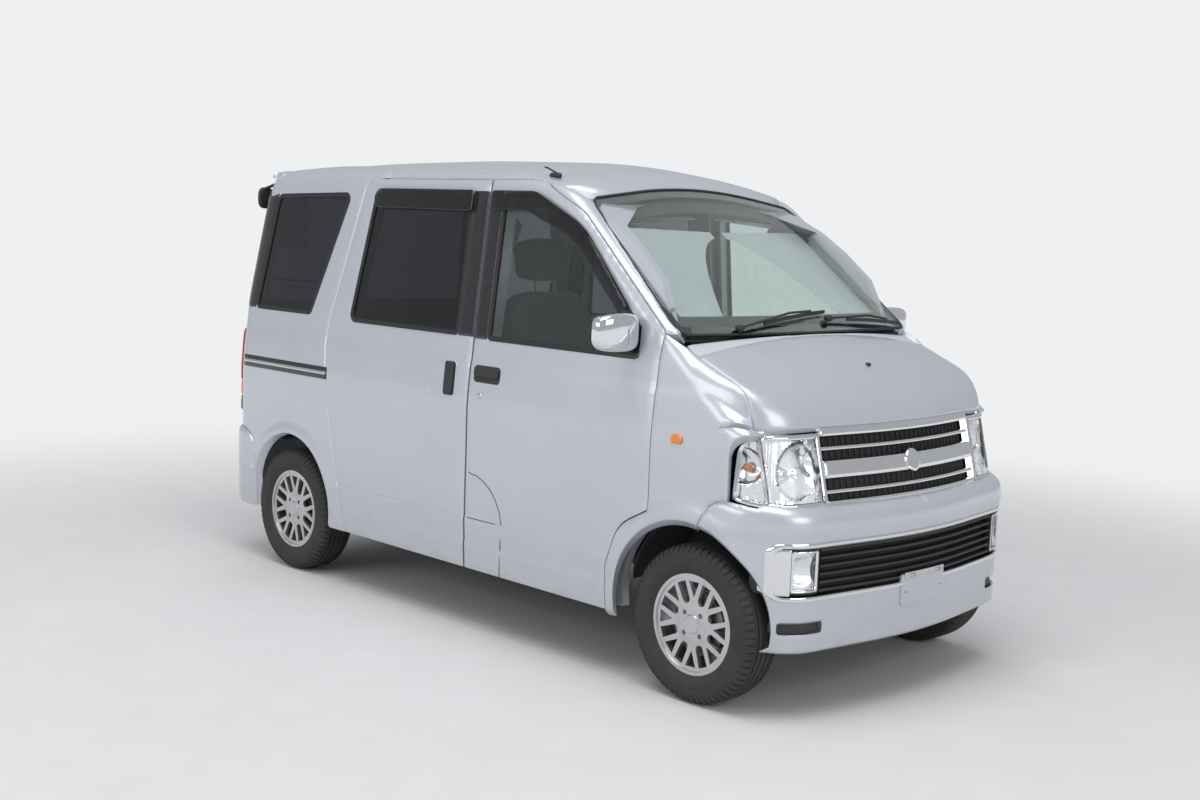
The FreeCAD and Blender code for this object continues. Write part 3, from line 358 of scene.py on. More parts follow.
def form_at(form, points):
    """Form's value at points, the same on both sides of the car."""
    return form(points[:, 0], np.abs(points[:, 1]), points[:, 2])


def drop(flat, view, form, depth, top=2.6, bottom=-1.2):
    """Points of a flat view dropped onto the surface that lies depth below the form."""
    u, v, n = view
    depth = np.broadcast_to(np.asarray(depth, float), (len(flat),))
    start = flat[:, :1] * u + flat[:, 1:2] * v
    high = np.full(len(flat), top)
    low = np.full(len(flat), bottom)
    found = np.zeros(len(flat), bool)
    for height in np.linspace(top, bottom, DROP_STEPS)[1:]:
        inside = form_at(form, start + n * height) + depth < 0
        fresh = inside & ~found
        low[fresh] = height
        high[~inside & ~found] = height
        found |= inside
    for halving in range(DROP_HALVINGS):
        middle = (low + high) / 2
        inside = form_at(form, start + n * middle[:, None]) + depth < 0
        low = np.where(inside, middle, low)
        high = np.where(inside, high, middle)
    hits = np.flatnonzero(found)
    for k in np.flatnonzero(~found) if len(hits) else ():
        away = ((flat[hits] - flat[k]) ** 2).sum(1)
        low[k] = low[hits[away.argmin()]]
    return start + n * low[:, None], found


def flatten(points, view):
    """Points in space as seen in a flat view."""
    return np.stack([points @ view[0], points @ view[1]], 1)


def normals_at(form, points, reach=0.002):
    """Outward directions of the form at points."""
    result = np.zeros_like(points)
    for axis in range(3):
        shift = np.zeros(3)
        shift[axis] = reach
        result[:, axis] = form_at(form, points + shift) - form_at(form, points - shift)
    return result / np.maximum(np.linalg.norm(result, axis=1, keepdims=True), 1e-9)


# %% Triangles inside an outline
def within(points, loops):
    """Which points lie inside the first loop and outside the others."""
    inside = np.zeros(len(points), bool)
    for loop in loops:
        following = np.roll(loop, -1, axis=0)
        for (ax, ay), (bx, by) in zip(loop, following):
            if ay == by:
                continue
            crosses = (ay > points[:, 1]) != (by > points[:, 1])
            at = ax + (points[:, 1] - ay) * (bx - ax) / (by - ay)
            inside ^= crosses & (points[:, 0] < at)
    return inside


def rim_distance(points, loops):
    """Distance of each point from the nearest rim."""
    best = np.full(len(points), 1e9)
    for loop in loops:
        following = np.roll(loop, -1, axis=0)
        for a, b in zip(loop, following):
            along = b - a
            t = np.clip(((points - a) @ along) / max(along @ along, 1e-12), 0, 1)
            away = points - a - t[:, None] * along
            best = np.minimum(best, (away * away).sum(1))
    return np.sqrt(best)


def triangles(loops, strewn):
    """Points and triangles that fill the loops, with the strewn points among them."""
    points = [tuple(p) for loop in loops for p in loop]
    edges = []
    first = 0
    for loop in loops:
        edges += [(first + k, first + (k + 1) % len(loop)) for k in range(len(loop))]
        first += len(loop)
    points += [tuple(p) for p in strewn]
    made = delaunay_2d_cdt([Vector(p) for p in points], edges, [], 0, 1e-7)
    flat = np.array([(p.x, p.y) for p in made[0]])
    faces = np.array([f for f in made[2] if len(f) == 3])
    centres = flat[faces].mean(axis=1)
    faces = faces[within(centres, loops)]
    a, b, c = flat[faces[:, 0]], flat[faces[:, 1]], flat[faces[:, 2]]
    turn = (b[:, 0] - a[:, 0]) * (c[:, 1] - a[:, 1]) - (b[:, 1] - a[:, 1]) * (c[:, 0] - a[:, 0])
    faces[turn < 0] = faces[turn < 0][:, ::-1]
    return flat, faces[np.abs(turn) > 1e-12]


def strew(loops, spacing, roll):
    """Points in even rows inside the loops, and lines of points just inside the rims."""
    low, high = loops[0].min(0), loops[0].max(0)
    rows = np.arange(low[1], high[1], spacing * 0.866)
    points = []
    for k, height in enumerate(rows):
        across = np.arange(low[0] + (k % 2) * spacing / 2, high[0], spacing)
        points.append(np.stack([across, np.full(len(across), height)], 1))
    points = np.concatenate(points)
    points = points[within(points, loops)]
    points = points[rim_distance(points, loops) > max(0.55 * spacing, 1.6 * roll)]
    near = []
    for share in ((0.3, 1.05) if roll > 0 else ()):
        for loop in loops:
            along = np.roll(loop, -1, axis=0) - np.roll(loop, 1, axis=0)
            along = along / np.maximum(np.linalg.norm(along, axis=1, keepdims=True), 1e-9)
            side = np.stack([-along[:, 1], along[:, 0]], 1) * roll * share
            for shifted in (loop + side, loop - side):
                keep = within(shifted, loops)
                keep &= rim_distance(shifted, loops) > 0.9 * roll * share
                near.append(shifted[keep])
    return np.concatenate([points] + near) if near else points


def guided(points, lines, spacing):
    """Adds rows of points beside lines that the panel is creased along."""
    added = []
    for line in lines:
        line = np.array(line, float)
        for a, b in zip(line[:-1], line[1:]):
            parts = max(int(np.linalg.norm(b - a) / spacing), 1)
            run = a + (b - a) * (np.arange(parts)[:, None] / parts)
            side = np.array([-(b - a)[1], (b - a)[0]]) / np.linalg.norm(b - a)
            added += [run + side * shift for shift in (-0.014, -0.007, 0.0, 0.007, 0.014)]
    return np.concatenate([points] + added) if added else points


# %% From a flat outline to a finished panel
def new_piece(name, points, faces, material, body, replaced=(), smooth=40):
    """Mesh piece that rides on a body and stands for CAD nodes."""
    mesh = bpy.data.meshes.new(name)
    mesh.from_pydata([tuple(p) for p in points], [], [tuple(int(i) for i in f) for f in faces])
    mesh.update()
    mesh.shade_smooth()
    mesh.set_sharp_from_angle(angle=math.radians(smooth))
    piece = bpy.data.objects.new(name, mesh)
    scene.collection.objects.link(piece)
    mesh.materials.append(material)
    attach(piece, body)
    if replaced:
        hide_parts(*replaced)
    return piece


def cut_panel(loops, view, form, depth=0.0, wall=0.020, spacing=0.018, roll=0.003, lines=(), flush=None):
    """Points and faces of a closed panel: outer skin, rolled rim, wall and inner skin."""
    strewn = guided(strew(loops, spacing, roll), lines, 0.010)
    if lines:
        strewn = strewn[within(strewn, loops)]
        strewn = strewn[rim_distance(strewn, loops) > max(1.3 * roll, 0.002)]
    flat, faces = triangles(loops, strewn)
    rim = rim_distance(flat, loops)
    sunk_to = depth(flat) if callable(depth) else depth
    near_rim = (roll - np.minimum(rim, roll)) if roll > 0 else 0 * rim
    sunk = (roll - np.sqrt(np.maximum(roll ** 2 - near_rim ** 2, 0))) if roll > 0 else 0 * rim
    if flush is not None:
        sunk = np.where(flush(drop(flat, view, form, sunk_to)[0]), 0.0, sunk)
    outer, found = drop(flat, view, form, sunk_to + sunk)
    counts = {}
    for face in faces:
        for k in range(3):
            edge = (int(face[k]), int(face[(k + 1) % 3]))
            counts[edge] = counts.get(edge, 0) + 1
    rim_edges = [e for e in counts if (e[1], e[0]) not in counts]
    coarse = strew(loops, max(spacing * 3, 0.05), 0.0)
    rim_points = sorted({i for e in rim_edges for i in e})
    inner_flat, inner_faces = triangles(loops, coarse)
    inner, _ = drop(inner_flat, view, form, (depth(inner_flat) if callable(depth) else depth) + wall)
    nearest = {tuple(np.round(p, 6)): k for k, p in enumerate(inner_flat)}
    base = len(outer)
    place = {}
    for i in rim_points:
        key = tuple(np.round(flat[i], 6))
        if key in nearest:
            place[i] = base + nearest[key]
        else:
            place[i] = base + int(((inner_flat - flat[i]) ** 2).sum(1).argmin())
    all_faces = [tuple(f) for f in faces] + [tuple(base + k for k in f[::-1]) for f in inner_faces]
    for a, b in rim_edges:
        all_faces.append((b, a, place[a], place[b]))
    if not found.all():
        print("   points that missed the form:", int((~found).sum()))
    return np.concatenate([outer, inner]), all_faces


def mirrored(points, faces):
    """The same shape on the other side of the car, its faces still pointing out."""
    return points * np.array([1, -1, 1]), [f[::-1] for f in faces]


def merged(shapes):
    """Several shapes as one list of points and faces."""
    points, faces = [], []
    first = 0
    for p, f in shapes:
        points.append(p)
        faces += [tuple(i + first for i in face) for face in f]
        first += len(p)
    return np.concatenate(points), faces

# %% [markdown]
# ## Finishes
# Every finish is made of nodes, so it has no picture in it. Effects that several finishes share,
# such as fine grain and dust near the ground, are node groups with named inputs.
# They read the object's own coordinates, so a pattern stays put when a door opens.

# %% Shared effects
def node(tree, kind, inputs=(), **settings):
    """New node with its settings; an input takes a value, or is linked when it is given a socket."""
    made = tree.nodes.new(kind)
    for name, value in settings.items():
        setattr(made, name, value)
    for key, value in dict(inputs).items():
        if isinstance(value, bpy.types.NodeSocket):
            tree.links.new(value, made.inputs[key])
        else:
            made.inputs[key].default_value = value
    return made


def calc(tree, operation, a, b, **settings):
    """Result of a calculation on two numbers, each a value or a socket."""
    return node(tree, "ShaderNodeMath", {0: a, 1: b}, operation=operation, **settings).outputs[0]


def object_place(tree):
    """The object's own coordinates."""
    return node(tree, "ShaderNodeTexCoord").outputs["Object"]


def noise(tree, scale, detail):
    """Noise on the object's coordinates."""
    return node(tree, "ShaderNodeTexNoise", {"Vector": object_place(tree), "Scale": scale, "Detail": detail}
                ).outputs["Fac"]


def effect(name, inputs, outputs):
    """Empty node group with named inputs and outputs."""
    group = bpy.data.node_groups.new(name, "ShaderNodeTree")
    for label, kind, value in inputs:
        socket = group.interface.new_socket(label, in_out="INPUT", socket_type="NodeSocket" + kind)
        socket.default_value = value
    for label, kind in outputs:
        group.interface.new_socket(label, in_out="OUTPUT", socket_type="NodeSocket" + kind)
    return group, group.nodes.new("NodeGroupInput").outputs, group.nodes.new("NodeGroupOutput").inputs


def grain_effect():
    """Two sizes of grain: one shades the colour, one is the height of a bump."""
    group, given, result = effect("fine_grain", [
        ("Colour", "Color", (0.5, 0.5, 0.5, 1)), ("Scale", "Float", 300.0),
        ("Contrast", "Float", 0.15), ("Roughness", "Float", 0.5)],
        [("Colour", "Color"), ("Height", "Float"), ("Roughness", "Float")])
    fine = noise(group, given["Scale"], 3.0)
    shade = node(group, "ShaderNodeMapRange", {
        "Value": calc(group, "ADD", fine, noise(group, 3.0, 3.0)), "From Min": 0.6, "From Max": 1.4,
        "To Min": calc(group, "SUBTRACT", 1.0, given["Contrast"]),
        "To Max": calc(group, "ADD", 1.0, given["Contrast"])}).outputs["Result"]
    tint = node(group, "ShaderNodeMix", {"Factor": 1.0, 6: given["Colour"], 7: shade},
                data_type="RGBA", blend_type="MULTIPLY")
    group.links.new(tint.outputs[2], result["Colour"])
    group.links.new(fine, result["Height"])
    group.links.new(calc(group, "MULTIPLY", given["Roughness"], shade), result["Roughness"])
    return group


def dust_effect():
    """Road dust that thickens towards the ground and lies in patches."""
    group, given, result = effect("road_dust", [
        ("Colour", "Color", (0.5, 0.5, 0.5, 1)), ("Dust", "Color", (0.25, 0.22, 0.18, 1)),
        ("Height", "Float", 0.5), ("Amount", "Float", 0.3)], [("Colour", "Color"), ("Mask", "Float")])
    height = node(group, "ShaderNodeSeparateXYZ", {0: object_place(group)}).outputs["Z"]
    fade = node(group, "ShaderNodeMapRange", {"Value": height, "From Min": 0.15, "From Max": given["Height"],
                                              "To Min": 1.0, "To Max": 0.0}).outputs["Result"]
    patches = calc(group, "MULTIPLY", fade, noise(group, 14.0, 6.0))
    mask = calc(group, "MULTIPLY", patches, given["Amount"], use_clamp=True)
    tint = node(group, "ShaderNodeMix", {"Factor": mask, 6: given["Colour"], 7: given["Dust"]},
                data_type="RGBA")
    group.links.new(tint.outputs[2], result["Colour"])
    group.links.new(mask, result["Mask"])
    return group


GRAIN = grain_effect()
DUST = dust_effect()
BUMP_DISTANCE = 0.0004
print("shared effects:", GRAIN.name, DUST.name)


# %% A finish with grain, bump and dust
def finish(name, colour, roughness=0.5, metallic=0.0, scale=300.0, contrast=0.12, bump=0.1,
           dust=0.0, dust_height=0.5, **sockets):
    """Material whose colour, roughness and bump come from the grain group."""
    material = bpy.data.materials.new(name)
    material.use_nodes = True
    tree = material.node_tree
    shader = tree.nodes["Principled BSDF"]
    shader.inputs["Metallic"].default_value = metallic
    for socket, value in sockets.items():
        shader.inputs[socket.replace("_", " ")].default_value = value
    grain = node(tree, "ShaderNodeGroup", {}, node_tree=GRAIN)
    for label, value in (("Colour", (*colour, 1)), ("Scale", scale), ("Contrast", contrast),
                         ("Roughness", roughness)):
        grain.inputs[label].default_value = value
    tree.links.new(grain.outputs["Roughness"], shader.inputs["Roughness"])
    shade = grain.outputs["Colour"]
    if dust:
        soil = node(tree, "ShaderNodeGroup", {}, node_tree=DUST)
        soil.inputs["Height"].default_value = dust_height
        soil.inputs["Amount"].default_value = dust
        tree.links.new(shade, soil.inputs["Colour"])
        shade = soil.outputs["Colour"]
    tree.links.new(shade, shader.inputs["Base Color"])
    if bump:
        relief = node(tree, "ShaderNodeBump", {"Strength": bump, "Distance": BUMP_DISTANCE,
                                               "Height": grain.outputs["Height"]})
        tree.links.new(relief.outputs["Normal"], shader.inputs["Normal"])
    return material


def glass(name, colour, roughness=0.0):
    """Tinted glass with faint streaks of dust in its roughness."""
    material = finish(name, colour, roughness, scale=60.0, contrast=0.05, bump=0.0)
    shader = material.node_tree.nodes["Principled BSDF"]
    shader.inputs["Transmission Weight"].default_value = 1.0
    shader.inputs["IOR"].default_value = 1.45
    return material


# %% The car's finishes
paint = finish("silver_paint", (0.545, 0.570, 0.620), 0.36, 0.45, scale=1800.0, contrast=0.035,
               bump=0.012, dust=0.35, dust_height=0.55, Coat_Weight=0.9, Coat_Roughness=0.06)
gloss_black = finish("gloss_black_trim", (0.012, 0.012, 0.014), 0.16, scale=40.0, contrast=0.2, bump=0.0,
                     Coat_Weight=0.4)
rubber_seal = finish("window_rubber", (0.014, 0.014, 0.015), 0.62, scale=500.0, contrast=0.25, bump=0.15)
black_plastic = finish("grained_black_plastic", (0.022, 0.022, 0.024), 0.55, scale=900.0, contrast=0.25,
                       bump=0.35, dust=0.25)
liner = finish("wheelhouse_liner", (0.018, 0.018, 0.019), 0.85, scale=220.0, contrast=0.3, bump=0.5,
               dust=0.6, dust_height=0.9)
chrome = finish("bright_chrome", (0.78, 0.79, 0.80), 0.055, 1.0, scale=30.0, contrast=0.03, bump=0.0)
satin_metal = finish("satin_bright_strip", (0.60, 0.61, 0.63), 0.24, 1.0, scale=700.0, contrast=0.06,
                     bump=0.05)
alloy = finish("silver_alloy", (0.60, 0.61, 0.625), 0.30, 0.85, scale=900.0, contrast=0.07, bump=0.06,
               dust=0.35, dust_height=0.9, Coat_Weight=0.5, Coat_Roughness=0.1)
tyre_rubber = finish("tyre_rubber", (0.017, 0.017, 0.018), 0.70, scale=420.0, contrast=0.25, bump=0.25,
                     dust=0.14, dust_height=1.1)
underbody = finish("underbody_coating", (0.030, 0.030, 0.032), 0.75, scale=160.0, contrast=0.3, bump=0.6,
                   dust=0.5)
steel = finish("dull_steel", (0.30, 0.29, 0.28), 0.45, 0.9, scale=260.0, contrast=0.25, bump=0.3, dust=0.4)
cast_iron = finish("bare_casting", (0.16, 0.16, 0.16), 0.62, 0.7, scale=380.0, contrast=0.3, bump=0.6,
                   dust=0.4)
cowl_plastic = finish("pale_cowl_plastic", (0.50, 0.52, 0.56), 0.42, scale=900.0, contrast=0.08, bump=0.1)
light_plastic = finish("pale_dash_plastic", (0.46, 0.43, 0.37), 0.6, scale=1100.0, contrast=0.10, bump=0.4)
dark_plastic = finish("dark_cabin_plastic", (0.055, 0.055, 0.058), 0.6, scale=1100.0, contrast=0.15, bump=0.4)
seat_cloth = finish("woven_grey_cloth", (0.110, 0.112, 0.118), 0.92, scale=1300.0, contrast=0.45, bump=0.9,
                    Sheen_Weight=0.3)
windshield_glass = glass("green_tinted_glass", (0.86, 0.94, 0.90))
door_glass = glass("tinted_door_glass", (0.60, 0.68, 0.66))
privacy_glass = glass("dark_privacy_glass", (0.10, 0.11, 0.12))
smoked_visor = glass("smoked_visor", (0.20, 0.19, 0.20), 0.03)
lamp_glass = glass("clear_lens", (0.97, 0.98, 0.99))
red_lens = finish("red_lens", (0.42, 0.010, 0.012), 0.10, scale=60.0, contrast=0.1, bump=0.0, Coat_Weight=1.0)
amber_lens = finish("amber_lens", (0.75, 0.22, 0.02), 0.12, scale=60.0, contrast=0.1, bump=0.0,
                    Coat_Weight=1.0)
reflector = finish("lamp_reflector", (0.82, 0.83, 0.85), 0.10, 1.0, scale=20.0, contrast=0.05, bump=0.0)
mirror_glass = finish("mirror_glass", (0.85, 0.87, 0.88), 0.02, 1.0, scale=10.0, contrast=0.01, bump=0.0)
headlining = finish("headlining_cloth", (0.34, 0.34, 0.33), 0.9, scale=900.0, contrast=0.2, bump=0.5)
BY_SLOT = {
    "paint": paint, "glass": windshield_glass, "privacy_glass": privacy_glass, "door_glass": door_glass,
    "lamp_glass": lamp_glass, "red_lens": red_lens, "chrome": chrome, "alloy": alloy, "tyre": tyre_rubber,
    "black_plastic": black_plastic, "trim": light_plastic, "seat_fabric": seat_cloth,
    "black_metal": underbody, "steel": steel, "iron": cast_iron,
}
for part in frame["record"]["subparts"]:
    slots = bpy.data.objects[part["node"]].data.materials
    slots.clear()
    slots.append(BY_SLOT[part["material_slot"]])
print("finishes:", len(bpy.data.materials))

# %% [markdown]
# ## Studio
# A pale floor, a pale sky and four broad lamps. The floor and the sky show white to the camera
# and in mirror-like surfaces, but light the car gently, so the silver keeps its shade.

# %% Floor, sky and lamps
PALE = (0.86, 0.87, 0.88, 1)
FADE_START, FADE_END = 2.2, 6.0
FLOOR_HALF = 30.0
SKY_LIGHT = 0.48


def fade_out(material):
    """Lets a floor turn into the pale background with distance from the car."""
    tree = material.node_tree
    away = node(tree, "ShaderNodeVectorMath", {0: object_place(tree)}, operation="LENGTH")
    share = node(tree, "ShaderNodeMapRange", {"Value": away.outputs["Value"], "From Min": FADE_START,
                                              "From Max": FADE_END}, interpolation_type="SMOOTHSTEP")
    glow = node(tree, "ShaderNodeEmission", {"Color": PALE})
    mix = node(tree, "ShaderNodeMixShader", {"Fac": share.outputs["Result"], 2: glow.outputs[0],
                                             1: tree.nodes["Principled BSDF"].outputs[0]})
    tree.links.new(mix.outputs[0], tree.nodes["Material Output"].inputs["Surface"])


def add_floor():
    """Wide pale floor under the tyres."""
    mesh = bpy.data.meshes.new("studio_floor")
    corners = [(a * FLOOR_HALF, b * FLOOR_HALF, 0) for a, b in ((-1, -1), (1, -1), (1, 1), (-1, 1))]
    mesh.from_pydata(corners, [], [(0, 1, 2, 3)])
    floor = bpy.data.objects.new("studio_floor", mesh)
    scene.collection.objects.link(floor)
    material = finish("studio_floor", (0.70, 0.70, 0.70), 0.85, scale=6.0, contrast=0.02, bump=0.0)
    fade_out(material)
    mesh.materials.append(material)
    return floor


def add_sky():
    """White to the camera and in reflections, softer as light."""
    world = bpy.data.worlds.new("studio_sky")
    world.use_nodes = True
    tree = world.node_tree
    plain = tree.nodes["Background"]
    plain.inputs["Color"].default_value = (0.93, 0.95, 1.0, 1)
    plain.inputs["Strength"].default_value = SKY_LIGHT
    seen = node(tree, "ShaderNodeBackground", {"Color": PALE, "Strength": 1.0})
    path = node(tree, "ShaderNodeLightPath").outputs
    either = calc(tree, "MAXIMUM", path["Is Camera Ray"], path["Is Transmission Ray"])
    mix = node(tree, "ShaderNodeMixShader", {"Fac": either, 1: plain.outputs[0], 2: seen.outputs[0]})
    tree.links.new(mix.outputs[0], tree.nodes["World Output"].inputs["Surface"])
    scene.world = world


def add_lamp(name, place, target, size, power):
    """Square soft lamp aimed at a point."""
    data = bpy.data.lights.new(name, "AREA")
    data.shape = "RECTANGLE"
    data.size, data.size_y = size
    data.energy = power
    lamp = bpy.data.objects.new(name, data)
    lamp.location = place
    aim = Vector(target) - Vector(place)
    lamp.rotation_euler = aim.to_track_quat("-Z", "Y").to_euler()
    scene.collection.objects.link(lamp)
    return lamp


add_floor()
add_sky()
add_lamp("key_above", (1.5, -2.0, 6.5), (0.2, 0, 0.8), (5.0, 4.0), 235)
add_lamp("front_fill", (7.0, -1.0, 3.2), (1.0, 0, 0.8), (4.0, 3.0), 90)
add_lamp("side_fill", (-1.0, -7.5, 3.0), (-0.3, 0, 0.9), (6.0, 2.5), 110)
back_fill = add_lamp("back_fill", (-6.0, 3.5, 4.0), (-0.5, 0, 1.0), (4.0, 3.0), 90)
back_fill.visible_glossy = False
scene.view_settings.view_transform = "Standard"

# %% [markdown]
# ## Side doors and windows
# Each door is one closed slab, as thick as the real door with its lining, with the window opening
# cut through it. The seams are drawn on the side view in millimetres, as on a body drawing:
# x forwards, z up, and the corner radius. The left side mirrors the right one.

# %% Seams and window openings on the side view
FRONT_DOOR = [
    (67, 243, 6), (67, 1757, 8), (330, 1762, 120), (575, 1652, 300), (1060, 1245, 30),
    (1050, 1150, 60), (1048, 634, 4), (905, 560, 160), (850, 400, 120), (856, 243, 6),
]
FRONT_WINDOW = [
    (152, 1152, 16), (152, 1698, 18), (330, 1702, 120), (600, 1585, 330), (925, 1262, 60), (944, 1152, 16),
]
SLIDING_DOOR = [
    (62, 243, 6), (62, 1757, 8), (-742, 1757, 60), (-925, 1090, 400), (-888, 800, 300),
    (-788, 420, 200), (-756, 243, 6),
]
SLIDING_WINDOW = [(-38, 1158, 16), (-38, 1702, 18), (-668, 1702, 60), (-757, 1158, 30)]
QUARTER_WINDOW = [(-1062, 1164, 22), (-852, 1690, 26), (-1412, 1676, 40), (-1500, 1164, 24)]
GAP = 2.5
DOOR_WALL = 0.055
SKIRT_LINES = [((-1.6, 0.446), (1.04, 0.446)), ((-1.6, 0.352), (1.04, 0.352))]
CAR_BODIES = ("car_body", "car_body")
DOOR_BODIES = ("front_door_right_body", "front_door_left_body")


def both_sides(name, shape, material, bodies, node_name=None):
    """The same panel on the right and mirrored on the left; the CAD nodes' names end in their side."""
    for side, body, one in zip(("right", "left"), bodies, (shape, mirrored(*shape))):
        new_piece(f"{name}_{side}", *one, material, body, [f"{node_name}_{side}"] if node_name else [])


def halves(name, shape, material, body="car_body", nodes=()):
    """A shape and its mirror image as one piece."""
    new_piece(name, *merged([shape, mirrored(*shape)]), material, body, nodes)


def side_cut(loops, depth=0.0, wall=0.020, roll=0.003, spacing=0.018, lines=()):
    """Panel cut from the right side of the body; its loops are x and z."""
    return cut_panel(loops, FROM_RIGHT, body_form, depth, wall, spacing=spacing, roll=roll, lines=lines)


# %% Front doors and sliding doors
front_door, sliding_door = (
    side_cut([outline(door, amount=GAP), outline(window)], wall=DOOR_WALL, lines=SKIRT_LINES)
    for door, window in ((FRONT_DOOR, FRONT_WINDOW), (SLIDING_DOOR, SLIDING_WINDOW)))
both_sides("front_door_panel", front_door, paint, DOOR_BODIES, "front_door")
both_sides("sliding_door_panel", sliding_door, paint, CAR_BODIES, "sliding_door")
print("door triangles", len(front_door[1]), len(sliding_door[1]))

# %% Trim inside the doors
TRIM_INSET = 66
front_trim, sliding_trim = (
    side_cut([outline(door, amount=TRIM_INSET), outline(window, amount=-gap)], DOOR_WALL + 0.0004, 0.008,
             spacing=0.035)
    for door, window, gap in ((FRONT_DOOR, FRONT_WINDOW, 16), (SLIDING_DOOR, SLIDING_WINDOW, 14)))
both_sides("front_door_trim", front_trim, dark_plastic, DOOR_BODIES)
halves("sliding_door_trims", sliding_trim, dark_plastic)

# %% Side glass, let in a little behind the panels
GLASS_DEPTH = 0.004
GLASS_WALL = 0.0045
front_pane, sliding_pane, quarter_pane = (
    side_cut([outline(window, amount=1)], GLASS_DEPTH, GLASS_WALL, 0.0, 0.03)
    for window in (FRONT_WINDOW, SLIDING_WINDOW, QUARTER_WINDOW))
both_sides("front_door_pane", front_pane, door_glass, DOOR_BODIES, "front_door_window")
halves("sliding_door_panes", sliding_pane, privacy_glass, nodes=["sliding_door_windows"])
halves("quarter_panes", quarter_pane, privacy_glass, nodes=["quarter_windows"])

# %% [markdown]
# Black rubber runs round every pane, and a black band joins the two side windows over the middle
# pillar. They are thin strips that stand a little proud of the paint.

# %% Rubbers and the black band on the pillar
front_rubber, sliding_rubber, quarter_rubber = (
    side_cut([outline(window, amount=-outer), outline(window, amount=inner)], -0.0012, 0.012, 0.0012, 0.012)
    for window, outer, inner in ((FRONT_WINDOW, 9, 10), (SLIDING_WINDOW, 9, 10), (QUARTER_WINDOW, 7, 12)))
both_sides("front_window_rubber", front_rubber, rubber_seal, DOOR_BODIES)
halves("sliding_window_rubbers", sliding_rubber, rubber_seal)
halves("quarter_window_rubbers", quarter_rubber, rubber_seal)
FRONT_BAND = [(70, 1146, 3), (70, 1712, 10), (144, 1712, 3), (144, 1146, 3)]
SLIDING_BAND = [(-31, 1150, 3), (-31, 1712, 3), (59, 1712, 10), (59, 1150, 3)]
front_band, sliding_band = (side_cut([outline(rows)], -0.0008, 0.006, 0.0008, 0.02)
                            for rows in (FRONT_BAND, SLIDING_BAND))
both_sides("front_door_band", front_band, gloss_black, DOOR_BODIES)
halves("sliding_door_bands", sliding_band, gloss_black)

# %% [markdown]
# ## Body sides behind the doors
# The quarter panel wraps round the rear corner to the tailgate. Behind the closed doors runs the
# inner frame: sill, middle pillar and posts.

# %% Rims that run from one side of a corner to another
TAIL_Y = 0.6425
EAVES_Y = 0.614
TAIL_X = -1.4295
SPLIT_X = -0.620
SILL_Z = 0.2435
TOP_SEAM_Z = 1.7595
LEDGE_Z = 0.6035
MIRROR_Y = np.array([1, -1, 1])


def run_between(a, b, spacing=0.012):
    """Evenly spaced places from a to b, without b."""
    a, b = np.array(a, float), np.array(b, float)
    count = max(int(np.linalg.norm(b - a) / spacing), 1)
    return a + (b - a) * (np.arange(count)[:, None] / count)


def from_right(places, form=body_form):
    """Places x, z on the right side."""
    return drop(np.asarray(places, float), FROM_RIGHT, form, 0.0)[0]


def from_behind(places, form=body_form):
    """Places y, z on the tail, with y as on the car."""
    return drop(np.array(places, float) * np.array([-1, 1]), FROM_BEHIND, form, 0.0)[0]


def from_above(places, form=body_form):
    """Places x, y on the top."""
    return drop(np.asarray(places, float), FROM_ABOVE, form, 0.0)[0]


def from_ahead(places, form=body_form):
    """Places y, z on the front."""
    return drop(np.asarray(places, float), FROM_AHEAD, form, 0.0)[0]


def seam_part(rows, amount, keep):
    """The points of a seam that pass a test, from the highest to the lowest."""
    points = outline(rows, amount=amount)
    points = points[keep(points)]
    return points[np.argsort(-points[:, 1])]


def arch(centre, radius, low=0.2445, first=-20, last=200):
    """Points of a wheel arch from its front foot over the top to its rear foot."""
    turns = np.radians(np.arange(first, last, 1.6))
    points = np.stack([centre[0] + radius * np.cos(turns), centre[1] + radius * np.sin(turns)], 1)
    return points[points[:, 1] > low]


# %% Quarter panels
def rear_of_sliding_door(points):
    """Which points of the seam the quarter panel borders."""
    return (points[:, 0] < -0.70) & (points[:, 1] < 1.752) & (points[:, 1] > 0.246)


sliding_seam = seam_part(SLIDING_DOOR, -GAP, rear_of_sliding_door)
rear_arch = arch(REAR_ARCH, REAR_ARCH_RADIUS)
quarter_rim = np.concatenate([
    from_right([(SPLIT_X, TOP_SEAM_Z)]), from_right(sliding_seam),
    from_right(run_between((sliding_seam[-1][0], SILL_Z), (rear_arch[0][0], SILL_Z))),
    from_right(rear_arch),
    from_right([(-1.4585, 0.300), (-1.4570, 0.420), (-1.4590, 0.480), (-1.4700, 0.530), (-1.4950, 0.575),
                (-1.5300, 0.5975), (-1.5600, LEDGE_Z), (-1.5900, LEDGE_Z)]),
    from_behind(run_between((-0.700, LEDGE_Z), (-TAIL_Y, LEDGE_Z), 0.01)),
    from_behind(run_between((-TAIL_Y, LEDGE_Z), (-TAIL_Y, 1.690))),
    from_above([(-1.570, -TAIL_Y + 0.002), (-1.53, -TAIL_Y + 0.001), (-1.48, -TAIL_Y), (TAIL_X, -TAIL_Y)]),
    from_above(run_between((TAIL_X, -EAVES_Y), (SPLIT_X, -EAVES_Y), 0.02)),
    from_above([(SPLIT_X, -EAVES_Y)]),
])
quarter_loops = [flatten(quarter_rim, FROM_REAR_CORNER),
                 flatten(from_right(outline(QUARTER_WINDOW)), FROM_REAR_CORNER)]
quarter = cut_panel(quarter_loops, FROM_REAR_CORNER, body_form, wall=0.030)
both_sides("quarter_panel", quarter, paint, CAR_BODIES, "side_body")
print("quarter panel triangles", len(quarter[1]))

